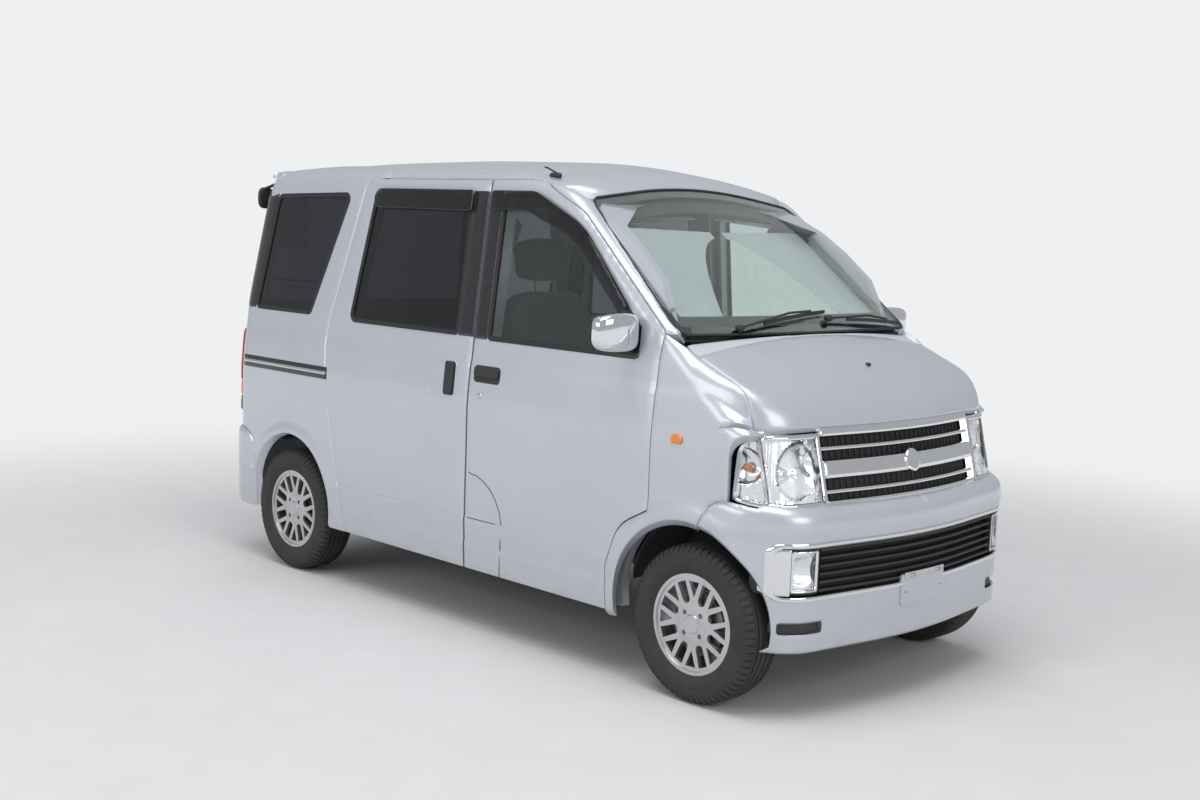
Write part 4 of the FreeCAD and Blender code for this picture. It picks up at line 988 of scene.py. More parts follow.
# %% Windshield pillar and the rail over the doors
WINDSHIELD = [(-672, 1238, 40), (-580, 1700, 60), (0, 1775, 2600), (580, 1700, 60), (672, 1238, 40)]
glass_rim = outline(WINDSHIELD, amount=-2.0)
glass_side = glass_rim[(glass_rim[:, 0] < -0.575) & (glass_rim[:, 1] > 1.250) & (glass_rim[:, 1] < 1.700)]
glass_side = glass_side[np.argsort(-glass_side[:, 1])]
front_seam = outline(FRONT_DOOR, amount=-GAP)
over_door = front_seam[(front_seam[:, 1] > 1.2475) & (front_seam[:, 0] > 0.07)]
over_door = over_door[np.argsort(-over_door[:, 0])]
pillar_rim = np.concatenate([
    from_above(run_between((SPLIT_X, -EAVES_Y), (0.470, -EAVES_Y), 0.02), house_form),
    from_ahead([(-0.603, 1.712)], house_form),
    from_ahead(glass_side, house_form),
    from_ahead([(-0.6755, 1.240)], house_form),
    from_right([(1.095, 1.2435), (1.063, 1.2435)], house_form),
    from_right(over_door, house_form),
    from_right(run_between((0.0645, TOP_SEAM_Z), (SPLIT_X, TOP_SEAM_Z), 0.02), house_form),
])
pillar = cut_panel([flatten(pillar_rim, FROM_EAVES)], FROM_EAVES, house_form, wall=0.030, spacing=0.010)
both_sides("windshield_pillar", pillar, paint, CAR_BODIES, "side_body")
print("pillar triangles", len(pillar[1]))

# %% Inner frame seen round the open doors
FRAME_LOW = 0.252
FRAME_FRONT = 1.036
FRAME_REAR = -0.900
FRAME_TOP = [(FRAME_FRONT, 0.62), (FRAME_FRONT, 1.10), (FRAME_FRONT, 1.26), (0.96, 1.42), (0.84, 1.52),
             (0.72, 1.60),
             (0.60, 1.665), (0.50, 1.700), (0.30, 1.735), (-0.30, 1.742), (-0.86, 1.742), (FRAME_REAR, 1.700),
             (FRAME_REAR, 1.2)]
frame_holes = [outline(SLIDING_DOOR, 0.03, 55), outline(FRONT_DOOR, 0.03, 55)]


def frame_loops():
    """Rims of the inner frame with its two door openings and the wheel arches cut out."""
    front_foot = arch(FRONT_ARCH, FRONT_ARCH_RADIUS + 0.012, FRAME_LOW)
    rear_foot = arch(REAR_ARCH, REAR_ARCH_RADIUS + 0.012, FRAME_LOW)
    front_foot = front_foot[front_foot[:, 0] < FRAME_FRONT]
    rear_foot = rear_foot[rear_foot[:, 0] > FRAME_REAR]
    rim = np.concatenate([
        [(0.0, FRAME_LOW)], run_between((0.02, FRAME_LOW), (front_foot[-1][0] - 0.01, FRAME_LOW), 0.05),
        front_foot[::-1], FRAME_TOP, rear_foot[::-1],
        run_between((rear_foot[0][0] + 0.01, FRAME_LOW), (0.0, FRAME_LOW), 0.05)])
    return [rim] + frame_holes


def side_only(x, y, z):
    """Depth behind the side wall and below the roof, without the windshield."""
    return meet(side_face(x, y, z), roof_face(x, y, z), EAVES_EDGE)


inner_frame = cut_panel(frame_loops(), FROM_RIGHT, side_only, depth=0.060, wall=0.034, spacing=0.04, roll=0.0)
both_sides("door_frame", inner_frame, paint, CAR_BODIES, "side_body")

# %% [markdown]
# ## Roof, windshield, cowl and bonnet
# These lie across the car, so their outlines are drawn from above or along the glass.

# %% Roof
roof_front = glass_rim[(glass_rim[:, 1] > 1.712)]
roof_front = roof_front[np.argsort(roof_front[:, 0])]
ROOF_Y = EAVES_Y - 0.003
roof_rim = np.concatenate([
    np.array([(TAIL_X, -ROOF_Y)]), run_between((TAIL_X, -ROOF_Y), (0.468, -ROOF_Y))[1:],
    from_ahead(roof_front, house_form)[:, :2], run_between((0.468, ROOF_Y), (TAIL_X, ROOF_Y)),
    run_between((TAIL_X, ROOF_Y), (TAIL_X, -ROOF_Y)),
])
roof = cut_panel([roof_rim], FROM_ABOVE, house_form, wall=0.030, spacing=0.030)
new_piece("roof_skin", *roof, paint, "car_body", ["roof_panel"])
lining_rows = [(-1400, -560, 60), (430, -560, 60), (430, 560, 60), (-1400, 560, 60)]
lining = cut_panel([outline(lining_rows)], FROM_ABOVE, house_form, 0.034, 0.006, spacing=0.05, roll=0.003)
new_piece("roof_lining", *lining, headlining, "car_body")
print("roof triangles", len(roof[1]))

# %% Windshield
def glass_cut(insets, depth, wall, spacing, roll=0.0):
    """Pane or ring between insets of the windshield's outline, drawn along the glass."""
    loops = [flatten(from_ahead(outline(WINDSHIELD, amount=inset), house_form), FROM_GLASS)
             for inset in insets]
    return cut_panel(loops, FROM_GLASS, house_form, depth, wall, spacing=spacing, roll=roll)


for name, material, nodes, shape in (
        ("windshield_pane", windshield_glass, ["windshield"], glass_cut([1.0], 0.003, 0.005, 0.035)),
        ("windshield_frit", gloss_black, [], glass_cut([0.0, 30.0], 0.0085, 0.010, 0.03)),
        ("windshield_surround", dark_plastic, [], glass_cut([0.0, 75.0], 0.026, 0.006, 0.03, 0.002)),
        ("windshield_rubber", rubber_seal, [], glass_cut([0.0, 6.0], 0.0005, 0.004, 0.01, 0.001))):
    new_piece(name, *shape, material, "car_body", nodes)

# %% Bonnet
FENDER_Y = 0.668
COWL_X = 1.190
BONNET_LIP = 0.9645
lip = from_ahead(run_between((-FENDER_Y + 0.0025, BONNET_LIP), (FENDER_Y - 0.0025, BONNET_LIP)), base_form)
side_rear = np.array([COWL_X + 0.0025, -FENDER_Y + 0.0025])
side_run = from_above(run_between(side_rear, (lip[0][0] - 0.002, side_rear[1])), base_form)
rear_run = from_above(run_between((side_rear[0], -side_rear[1]), side_rear), base_form)
bonnet_rim = np.concatenate([side_run, lip, (side_run * MIRROR_Y)[::-1], rear_run[1:]])
bonnet = cut_panel([flatten(bonnet_rim, FROM_BROW)], FROM_BROW, base_form, wall=0.020, spacing=0.016)
new_piece("bonnet_skin", *bonnet, paint, "bonnet_body", ["bonnet"])
print("bonnet triangles", len(bonnet[1]))

# %% Cowl under the wipers
cowl_rear = from_ahead([(y, 1.236) for y in np.arange(0.655, -0.656, -0.02)], house_form)
cowl_rim = np.concatenate([
    from_above(run_between((COWL_X - 0.005, -FENDER_Y + 0.004), (COWL_X - 0.005, FENDER_Y - 0.004), 0.02),
               base_form),
    cowl_rear + np.array([0.002, 0, 0])])
cowl = cut_panel([cowl_rim[:, :2]], FROM_ABOVE, base_form, depth=0.003, wall=0.014, spacing=0.02)
cowl_cover = new_piece("cowl_cover", *cowl, cowl_plastic, "car_body", ["cowl_panel"])

# %% Fenders
BUMPER_SEAM = [(1.2785, 0.620), (1.300, 0.659), (1.325, 0.696), (1.352, 0.716), (1.380, 0.7225),
               (1.4035, 0.7245)]
LAMP_TOP = 0.9425
LAMP_REAR = 1.4025
front_arch = arch(FRONT_ARCH, FRONT_ARCH_RADIUS)
front_arch = front_arch[(front_arch[:, 0] < 1.2785) | (front_arch[:, 1] < 0.1)]
door_front = front_seam[front_seam[:, 0] > 0.84]
door_front = door_front[(door_front[:, 1] < 1.244) & (door_front[:, 1] > 0.2465)]
door_front = door_front[np.argsort(-door_front[:, 1])]
SHOULDER_Y = -0.6705
nose_at_lamp = from_ahead([(SHOULDER_Y, LAMP_TOP)], base_form)[0]
LAMP_ROUND = 0.062


def lamp_corner(gap):
    """Rear edge of the head lamp with its rounded upper corner, on the side view."""
    middle = np.array([LAMP_REAR + LAMP_ROUND, LAMP_TOP - LAMP_ROUND])
    turns = np.radians(np.arange(180, 89, -7.5))
    corner = middle + (LAMP_ROUND - gap) * np.stack([np.cos(turns), np.sin(turns)], 1)
    return np.concatenate([run_between((LAMP_REAR + gap, 0.730), corner[0]), corner])


lamp_top_run = np.concatenate([
    from_right(run_between((LAMP_REAR + LAMP_ROUND + 0.006, LAMP_TOP), (1.49, LAMP_TOP), 0.006), base_form),
    from_ahead(run_between((-0.715, LAMP_TOP), (SHOULDER_Y, LAMP_TOP), 0.006), base_form)])
fender_rim = np.concatenate([
    from_right([(1.0645, 1.2405)]), from_right(door_front),
    from_right([(0.8585, SILL_Z)]),
    from_right(front_arch[::-1]),
    from_right(BUMPER_SEAM),
    from_right(lamp_corner(0.0)),
    lamp_top_run,
    from_above(run_between((nose_at_lamp[0] - 0.004, SHOULDER_Y), (1.168, SHOULDER_Y)), base_form),
    from_above([(1.150, -0.678)]),
])
fender = cut_panel([flatten(fender_rim, FROM_SHOULDER)], FROM_SHOULDER, body_form, wall=0.030, spacing=0.014)
halves("fender_skins", fender, paint, nodes=["front_fenders"])
print("fender triangles", len(fender[1]))

# %% [markdown]
# ## Front bumper
# The bumper wraps round the nose, so its right half is cut from a view that sees the front, the
# side and the ledge on top at once, and mirrored. Rims are found on the form first and then
# flattened into that view.

# %% Helpers for rims and strips
FROM_BUMPER = look((0.60, -0.62, 0.50), (0.7, 0.7, 0))


def at_middle(points):
    """Points on the middle plane of the car, where two halves meet."""
    return np.abs(points[:, 1]) < 0.004


def shrink(loop, amount):
    """Closed loop moved inwards, or outwards for a negative amount."""
    along = np.roll(loop, -1, axis=0) - np.roll(loop, 1, axis=0)
    along = along / np.maximum(np.linalg.norm(along, axis=1, keepdims=True), 1e-9)
    area = np.sum(loop[:, 0] * np.roll(loop[:, 1], -1) - np.roll(loop[:, 0], -1) * loop[:, 1])
    side = np.stack([-along[:, 1], along[:, 0]], 1) * (1 if area > 0 else -1)
    return loop + side * amount


# %% Bumper skin with the openings
NOSE_SEAM_Z = 0.709
BUMPER_LOW = 0.240
OPENING_LOW, OPENING_MIDDLE, OPENING_HIGH = 0.424, 0.505, 0.586
ledge_y = np.arange(0.0, -0.685, -0.012)
nose_seam = from_ahead([(y, NOSE_SEAM_Z) for y in ledge_y], base_form)
ledge = from_above(nose_seam[:, :2] + np.array([0.002, 0.0]), front_bumper_form)
opening = outline([(668, 586, 24), (-668, 586, 24), (-668, 424, 24), (668, 424, 24)])
opening = opening[opening[:, 0] < -0.004]
y, z = opening.T
is_low = z < OPENING_MIDDLE
order_low = -y + 10 * (z > OPENING_LOW + 0.0005) * z
order_high = y - 10 * (z < OPENING_HIGH - 0.0005) * (1 - z)
opening_low = opening[is_low][np.argsort(order_low[is_low])]
opening_high = opening[~is_low][np.argsort(order_high[~is_low])]
bumper_arch = np.array([(FRONT_ARCH[0] + 0.330 * math.cos(t), FRONT_ARCH[1] + 0.330 * math.sin(t))
                        for t in np.radians(np.arange(78, -10, -2.2))])
bumper_rim = np.concatenate([
    ledge,
    from_right([(1.500, 0.7085), (1.470, 0.7130), (1.440, 0.7170)], front_bumper_form),
    from_right([(x, z - 0.004) for x, z in BUMPER_SEAM[::-1]], front_bumper_form),
    from_right(bumper_arch, front_bumper_form),
    from_ahead(run_between((-0.684, BUMPER_LOW), (0.0, BUMPER_LOW)), front_bumper_form),
    from_ahead(run_between((0.0, BUMPER_LOW), (0.0, OPENING_LOW)), front_bumper_form),
    from_ahead(opening_low, front_bumper_form), from_ahead(opening_high, front_bumper_form),
    from_ahead(run_between((0.0, 0.586), (0.0, 0.700)), front_bumper_form),
])
slot_rim = outline([(-655, 300, 9), (-655, 340, 9), (-505, 340, 9), (-505, 300, 9)], 0.008)
bumper_loops = [flatten(bumper_rim, FROM_BUMPER),
                flatten(from_ahead(slot_rim, front_bumper_form), FROM_BUMPER)]
bumper = cut_panel(bumper_loops, FROM_BUMPER, front_bumper_form, wall=0.012, spacing=0.015, flush=at_middle)
halves("front_bumper_skin", bumper, paint, nodes=["front_bumper"])
print("bumper triangles", 2 * len(bumper[1]))

# %% Bright frame of the lower opening, slot backs and the plate bracket
def front_strip(loops, depth, wall, roll=0.003, spacing=0.012, view=FROM_AHEAD, form=front_bumper_form):
    """Strip or plate cut from the front, its loops given as y and z."""
    flat = [flatten(from_ahead(loop, form), view) for loop in loops]
    return cut_panel(flat, view, form, depth, wall, spacing=spacing, roll=roll)


FRAME_ROWS = [(668, 588, 24), (-668, 588, 24), (-668, 422, 24), (668, 422, 24)]
frame = front_strip([outline(FRAME_ROWS, amount=-14), outline(FRAME_ROWS, amount=3)], -0.005, 0.018, 0.006)
new_piece("lower_opening_frame", *frame, chrome, "car_body")
CHEEK = [(-668, 582, 16), (-668, 428, 16), (-630, 428, 4), (-630, 582, 4)]
cheek = front_strip([outline(CHEEK, 0.008)], -0.003, 0.016, 0.004, 0.008)
halves("opening_cheeks", cheek, chrome)
SLOT_BACK = [(-657, 298, 9), (-657, 342, 9), (-503, 342, 9), (-503, 298, 9)]
halves("bumper_slot_backs", front_strip([outline(SLOT_BACK)], 0.014, 0.004, 0.0), black_plastic)
LOWER_LIP = [(-640, 236, 4), (-640, 262, 4), (640, 262, 4), (640, 236, 4)]
lip = front_strip([outline(LOWER_LIP)], 0.016, 0.008, 0.002, 0.02)
new_piece("bumper_lower_lip", *lip, black_plastic, "car_body")
bracket_rows = [(-128, 338, 14), (-128, 448, 14), (128, 448, 14), (128, 338, 14)]
plate_holes = [circle((y, 0.385), 0.0036, 0.002) for y in (-0.105, 0.105)]
bracket = front_strip([outline(bracket_rows)] + plate_holes, -0.006, 0.012, 0.003)
new_piece("plate_bracket", *bracket, paint, "car_body")
bar_rows = [(-118, 432, 4), (-118, 456, 4), (118, 456, 4), (118, 432, 4)]
bar_slots = [[(y - 18, 438, 5), (y - 18, 450, 5), (y + 18, 450, 5), (y + 18, 438, 5)] for y in (-78, 78)]
bar_loops = [outline(bar_rows, 0.006)] + [outline(rows, 0.005) for rows in bar_slots]
bar = front_strip(bar_loops, -0.010, 0.004, 0.001)
new_piece("plate_bar", *bar, satin_metal, "car_body")

# %% [markdown]
# ## Things that repeat
# Slats and tread blocks repeat in a row or a ring. One Geometry Nodes tree makes them all:
# it places copies of a shape, each moved and turned one step more than the last, and the result
# becomes a plain mesh.

# %% The node tree that repeats a shape
def repeat_tree():
    """Node tree that copies its geometry, with a shift and a turn from each copy to the next."""
    tree = bpy.data.node_groups.new("Repeat in a row or ring", "GeometryNodeTree")
    sockets = (("Geometry", "NodeSocketGeometry"), ("Count", "NodeSocketInt"), ("Shift", "NodeSocketVector"),
               ("Turn", "NodeSocketVector"), ("Material", "NodeSocketMaterial"))
    for label, kind in sockets:
        tree.interface.new_socket(name=label, in_out="INPUT", socket_type=kind)
    tree.interface.new_socket(name="Geometry", in_out="OUTPUT", socket_type="NodeSocketGeometry")
    nodes, links = tree.nodes, tree.links
    given, result = nodes.new("NodeGroupInput"), nodes.new("NodeGroupOutput")
    row = nodes.new("GeometryNodeMeshLine")
    number = nodes.new("GeometryNodeInputIndex")
    turned = nodes.new("ShaderNodeVectorMath")
    turned.operation = "SCALE"
    copies = nodes.new("GeometryNodeInstanceOnPoints")
    real = nodes.new("GeometryNodeRealizeInstances")
    coloured = nodes.new("GeometryNodeSetMaterial")
    links.new(given.outputs["Count"], row.inputs["Count"])
    links.new(given.outputs["Shift"], row.inputs["Offset"])
    links.new(given.outputs["Turn"], turned.inputs[0])
    links.new(number.outputs[0], turned.inputs["Scale"])
    links.new(row.outputs["Mesh"], copies.inputs["Points"])
    links.new(given.outputs["Geometry"], copies.inputs["Instance"])
    links.new(turned.outputs["Vector"], copies.inputs["Rotation"])
    links.new(copies.outputs["Instances"], real.inputs["Geometry"])
    links.new(real.outputs["Geometry"], coloured.inputs["Geometry"])
    links.new(given.outputs["Material"], coloured.inputs["Material"])
    links.new(coloured.outputs["Geometry"], result.inputs["Geometry"])
    return tree


REPEAT = repeat_tree()


def repeated(shape, material, count, shift=(0, 0, 0), turn=(0, 0, 0)):
    """Points and faces of a shape repeated by the node tree."""
    mesh = bpy.data.meshes.new("seed")
    mesh.from_pydata([tuple(p) for p in shape[0]], [], [tuple(int(i) for i in f) for f in shape[1]])
    seed = bpy.data.objects.new("seed", mesh)
    scene.collection.objects.link(seed)
    modifier = seed.modifiers.new("repeat", "NODES")
    modifier.node_group = REPEAT
    given = {"Count": count, "Shift": Vector(shift), "Turn": Vector(turn), "Material": material}
    for item in REPEAT.interface.items_tree:
        if item.in_out == "INPUT" and item.name in given:
            modifier[item.identifier] = given[item.name]
    seed.update_tag()
    made = bpy.data.meshes.new_from_object(seed.evaluated_get(bpy.context.evaluated_depsgraph_get()))
    points = np.zeros(len(made.vertices) * 3)
    made.vertices.foreach_get("co", points)
    faces = [tuple(face.vertices) for face in made.polygons]
    bpy.data.objects.remove(seed)
    return points.reshape(-1, 3), faces


# %% Sweeps, lathes and pods
def sweep(path, section, closed=False):
    """Tube along a path; the section is a list of offsets to the side and upwards."""
    path = np.asarray(path, float)
    section = np.asarray(section, float)
    points, faces = [], []
    count, width = len(path), len(section)
    for k, p in enumerate(path):
        before = path[k - 1] if closed or k else p
        after = path[(k + 1) % count] if closed or k + 1 < count else p
        along = (after - before) / max(np.linalg.norm(after - before), 1e-9)
        side = np.cross(along, (0, 0, 1)) if abs(along[2]) < 0.95 else np.cross(along, (0, 1, 0))
        side = side / np.linalg.norm(side)
        up = np.cross(side, along)
        points += [p + side * a + up * b for a, b in section]
    for k in range(count if closed else count - 1):
        for m in range(width):
            n = (m + 1) % width
            j = (k + 1) % count
            faces.append((k * width + n, k * width + m, j * width + m, j * width + n))
    if not closed:
        faces.append(tuple(range(width)))
        faces.append(tuple(range((count - 1) * width, count * width))[::-1])
    return np.array(points), faces


def ring_section(radius, count=10, flat=1.0):
    """Round section, flattened upwards by a share."""
    turns = np.linspace(0, 2 * math.pi, count, endpoint=False)
    return [(radius * math.cos(t), radius * flat * math.sin(t)) for t in turns]


def lathe(rows, steps=96):
    """Closed shape turned about X from rows of x and radius; a radius of 0 closes an end."""
    points, faces, rings = [], [], []
    for x, radius in rows:
        if radius == 0:
            rings.append([len(points)])
            points.append((x, 0, 0))
            continue
        rings.append(list(range(len(points), len(points) + steps)))
        turns = np.linspace(0, 2 * math.pi, steps, endpoint=False)
        points += [(x, radius * math.cos(t), radius * math.sin(t)) for t in turns]
    closed = rows[0][1] and rows[-1][1]
    pairs = list(zip(rings, rings[1:])) + ([(rings[-1], rings[0])] if closed else [])
    for a, b in pairs:
        for k in range(steps):
            n = (k + 1) % steps
            corner = [a[k % len(a)], a[n % len(a)], b[n % len(b)], b[k % len(b)]]
            faces.append(tuple(dict.fromkeys(corner)))
    return np.array(points, float), faces


def outwards(shape):
    """The same shape with its faces pointing out, judged by its volume."""
    points, faces = shape
    volume = 0.0
    for f in faces:
        for k in range(1, len(f) - 1):
            a, b, c = points[f[0]], points[f[k]], points[f[k + 1]]
            volume += np.dot(a, np.cross(b, c))
    return (points, [f[::-1] for f in faces]) if volume < 0 else shape


def pod(centre, half, power=2.6, rows=20, columns=36, bend=None):
    """Rounded pebble or box: half sizes along x, y and z, squarer with a higher power."""
    def signed(value):
        return math.copysign(abs(value) ** (2 / power), value)

    points, faces = [(0, 0, -1)], []
    for i in range(1, rows):
        rise = -math.pi / 2 + math.pi * i / rows
        for k in range(columns):
            turn = 2 * math.pi * k / columns
            points.append((signed(math.cos(rise)) * signed(math.cos(turn)),
                           signed(math.cos(rise)) * signed(math.sin(turn)), signed(math.sin(rise))))
    points.append((0, 0, 1))
    last = len(points) - 1
    for k in range(columns):
        n = (k + 1) % columns
        faces.append((0, 1 + n, 1 + k))
        faces.append((last, last - columns + k, last - columns + n))
        for i in range(rows - 2):
            a = 1 + i * columns
            faces.append((a + k, a + n, a + columns + n, a + columns + k))
    points = np.array(points, float) * np.array(half)
    if bend is not None:
        points = bend(points)
    return points + np.array(centre), faces


# %% Lower grille: backing and slats
backing = front_strip([outline([(-670, 588, 10), (-670, 422, 10), (670, 422, 10), (670, 588, 10)])],
                      0.040, 0.006, 0.0, 0.03)
new_piece("lower_grille_back", *backing, liner, "car_body", ["lower_grille"])
slat_path = np.array([from_ahead([(y, OPENING_MIDDLE)], front_bumper_form)[0]
                      for y in np.arange(-0.516, 0.517, 0.024)])
slat_path[:, 0] -= 0.020
slat_path[:, 2] = 0.0
slat_section = [(-0.014, -0.0035), (-0.011, -0.005), (0.012, -0.0045), (0.014, -0.0025), (0.014, 0.0025),
                (0.012, 0.0045), (-0.011, 0.005), (-0.014, 0.0035)]
SLATS, SLAT_STEP = 6, 0.027
first_slat = sweep(slat_path + np.array([0, 0, 0.438]), slat_section)
slats = repeated(first_slat, black_plastic, SLATS, shift=(0, 0, SLAT_STEP))
new_piece("lower_grille_slats", *outwards(slats), black_plastic, "car_body")
print("slats", SLATS, "faces", len(slats[1]))

# %% Square fog lamps with a bezel, a lens and a round reflector
FOG_ROWS = [(-632, 582, 14), (-632, 430, 14), (-524, 430, 14), (-524, 582, 14)]
fog_bezel = front_strip([outline(FOG_ROWS, 0.008), outline(FOG_ROWS, 0.008, 7)], 0.004, 0.030, 0.004, 0.008)
fog_rim = front_strip([outline(FOG_ROWS, 0.008, 7), outline(FOG_ROWS, 0.008, 14)], 0.002, 0.022, 0.003, 0.008)
halves("fog_lamp_rims", fog_rim, chrome)
halves("fog_lamp_bezels", fog_bezel, black_plastic)
fog_lens = front_strip([outline(FOG_ROWS, 0.008, 15)], 0.010, 0.0025, 0.0015, 0.010)
halves("fog_lamp_lenses", fog_lens, lamp_glass, nodes=["front_lights"])
fog_middle = flatten(from_ahead([(-0.574, 0.506)], front_bumper_form), FROM_AHEAD)[0]


def fog_bowl(flat):
    """Depth of the fog lamp's round bowl at places seen from ahead."""
    share = np.hypot(flat[:, 0] - fog_middle[0], flat[:, 1] - fog_middle[1]) / 0.050
    return 0.022 + 0.016 * np.maximum(1 - share * share, 0.0)


fog_back = front_strip([outline(FOG_ROWS, 0.006, 15)], fog_bowl, 0.004, 0.0, 0.006)
halves("fog_lamp_reflectors", fog_back, reflector)

# %% [markdown]
# ## Grille and head lamps
# The grille is a dark mesh behind bright bars. The middle bar is thick and has a round bare place.
# Each head lamp has a clear lens, a bright bowl with a bulb and an outer part for the indicator.

# %% Upper grille
GRILLE_HALF = 446


def grille_strip(low, high, depth, wall, roll, half=GRILLE_HALF, spacing=0.012):
    """Bar of the grille between two heights."""
    rows = [(half, high, 3), (-half, high, 3), (-half, low, 3), (half, low, 3)]
    return front_strip([outline(rows)], depth, wall, roll, spacing, form=base_form)


mesh_back = grille_strip(710, 952, 0.030, 0.005, 0.0, spacing=0.03)
new_piece("grille_back", *mesh_back, liner, "car_body", ["front_grille"])
top_bar = grille_strip(931, 959, -0.006, 0.022, 0.009)
middle_bar = grille_strip(794, 853, -0.005, 0.022, 0.010)
low_bar = grille_strip(708, 722, -0.003, 0.020, 0.005)
thin_bars = [grille_strip(z - 6, z + 6, 0.003, 0.016, 0.004) for z in (751, 891)]
new_piece("grille_bright_bars", *merged([top_bar, middle_bar, low_bar] + thin_bars), chrome, "car_body")
mesh_section = ring_section(0.0022, 6)
MESH_LOW, MESH_MIDDLE, MESH_HIGH = 0.712, 0.83, 0.948
mesh_path = [from_ahead([(0.0, z)], base_form)[0] - np.array([0.026, 0, 0])
             for z in (MESH_LOW, MESH_MIDDLE, MESH_HIGH)]
mesh_column = sweep(mesh_path, mesh_section)
columns = []
for y in np.arange(-0.435, 0.44, 0.029):
    foot = from_ahead([(y, MESH_MIDDLE)], base_form)[0][0] - from_ahead([(0.0, MESH_MIDDLE)], base_form)[0][0]
    columns.append((mesh_column[0] + np.array([foot, y, 0]), mesh_column[1]))
new_piece("grille_mesh_columns", *outwards(merged(columns)), black_plastic, "car_body")
badge = front_strip([circle((0.0, 0.829), 0.040, 0.006)], -0.013, 0.010, 0.008, 0.006, form=base_form)
new_piece("bare_badge_base", *badge, chrome, "car_body")

# %% Head lamps: outline of the lens
LENS_LOW = 0.7105
LENS_HIGH = 0.9385
LENS_INNER = -0.4495
inner_edge = from_ahead(run_between((LENS_INNER, LENS_HIGH), (LENS_INNER, LENS_LOW)), base_form)
low_front = from_ahead(run_between((LENS_INNER, LENS_LOW), (-0.690, LENS_LOW)), base_form)
LENS_UNDER = [(1.480, 0.7130), (1.460, 0.7155), (1.440, 0.7190), (1.420, 0.7235), (1.4075, 0.7285)]
low_side = from_right(LENS_UNDER, base_form)
rear_edge = from_right(lamp_corner(0.005)[1:], base_form)
high_start = (LAMP_REAR + LAMP_ROUND + 0.008, LENS_HIGH)
high_side = from_right(run_between(high_start, (1.488, LENS_HIGH)), base_form)
high_front = from_ahead(run_between((-0.700, LENS_HIGH), (LENS_INNER, LENS_HIGH)), base_form)
lens_rim = np.concatenate([low_front, low_side, rear_edge, high_side, high_front, inner_edge])
lens_loop = flatten(lens_rim, FROM_FRONT_CORNER)


def lamp_part(loops, depth, wall, roll=0.003, spacing=0.012):
    """Part of the head lamp seen from the corner."""
    return cut_panel(loops, FROM_FRONT_CORNER, base_form, depth, wall, spacing=spacing, roll=roll)


lens = lamp_part([shrink(lens_loop, 0.011)], 0.0, 0.0028, 0.004)
halves("head_lamp_lenses", lens, lamp_glass)
bezel = lamp_part([shrink(lens_loop, -0.003), shrink(lens_loop, 0.013)], -0.004, 0.022, 0.006, 0.008)
halves("head_lamp_bezels", bezel, chrome)

# %% Head lamps: bowls behind the lens
MAIN_BOWL = ((-0.560, 0.822), 0.094, 0.034)
SMALL_BOWL = ((-0.690, 0.835), 0.060, 0.022)


def bowl_depth(flat):
    """Depth of the lamp's back: two bowls in a stepped wall with fine flutes."""
    depth = np.full(len(flat), 0.022)
    for (y, z), radius, sink in (MAIN_BOWL, SMALL_BOWL):
        middle = flatten(from_ahead([(y, z)], base_form), FROM_FRONT_CORNER)[0]
        squeeze = 1.25 if radius > 0.08 else 1.0
        share = np.hypot((flat[:, 0] - middle[0]) * squeeze, flat[:, 1] - middle[1]) / radius
        depth = np.maximum(depth, 0.020 + sink * np.sqrt(np.maximum(1 - share * share, 0.0)))
    return depth + 0.0012 * np.cos(flat[:, 0] * 620.0) * (depth < 0.023)


back = lamp_part([shrink(lens_loop, 0.010)], bowl_depth, 0.003, 0.0, 0.0055)
halves("head_lamp_reflectors", back, reflector)
bulbs = []
for (y, z), radius, sink in (MAIN_BOWL, SMALL_BOWL):
    middle = from_ahead([(y, z)], base_form)[0]
    aim = normals_at(base_form, middle[None])[0]
    turn = Vector((1, 0, 0)).rotation_difference(Vector(aim)).to_matrix()
    size = 0.020 if radius > 0.08 else 0.014
    shape = outwards(lathe([(-0.044, 0.0), (-0.044, size * 0.7), (-0.026, size), (-0.018, size),
                            (-0.010, size * 0.75), (-0.006, 0.0)], 32))
    bulbs.append((np.array([turn @ Vector(p) for p in shape[0]]) + middle, shape[1]))
halves("head_lamp_bulbs", bulbs[0], chrome)
halves("indicator_bulbs", bulbs[1], amber_lens)
SPLIT_Y = -0.664
split_path = []
for z in np.linspace(0.718, 0.930, 14):
    spot = from_ahead([(SPLIT_Y, z)], base_form)
    split_path.append(spot[0] - normals_at(base_form, spot)[0] * 0.012)
divider = sweep(split_path, [(-0.012, -0.0025), (0.006, -0.002), (0.006, 0.002), (-0.012, 0.0025)])
halves("head_lamp_dividers", outwards(divider), chrome)
print("head lamp faces", len(lens[1]) + len(back[1]))

# %% [markdown]
# ## The rear
# The rear bumper, the tailgate with its window, the spoiler and the lamps at the rear corners.
# The photograph shows only their edges, so they follow what cars of this type have.

# %% Rear bumper
FROM_REAR_BUMPER = look((-0.62, -0.62, 0.45), (0.7, -0.7, 0))
tail_ledge = from_behind([(y, 0.600) for y in np.arange(0.0, -0.662, -0.012)], base_form)
tail_ledge = from_above(tail_ledge[:, :2] - np.array([0.002, 0.0]), rear_bumper_form)
REAR_SEAM = [(-1.6000, 0.6060), (-1.5600, 0.6010), (-1.5300, 0.5950), (-1.4975, 0.5725), (-1.4725, 0.5280),
             (-1.4615, 0.4790), (-1.4595, 0.4200), (-1.4610, 0.3000), (-1.4620, 0.2520)]
rear_rim = np.concatenate([
    tail_ledge, from_right(REAR_SEAM, rear_bumper_form),
    from_right(run_between((-1.4650, 0.2510), (-1.590, 0.2510)), rear_bumper_form),
    from_behind(run_between((-0.680, 0.2510), (0.0, 0.2510)), rear_bumper_form),
    from_behind(run_between((0.0, 0.2510), (0.0, 0.606)), rear_bumper_form)])
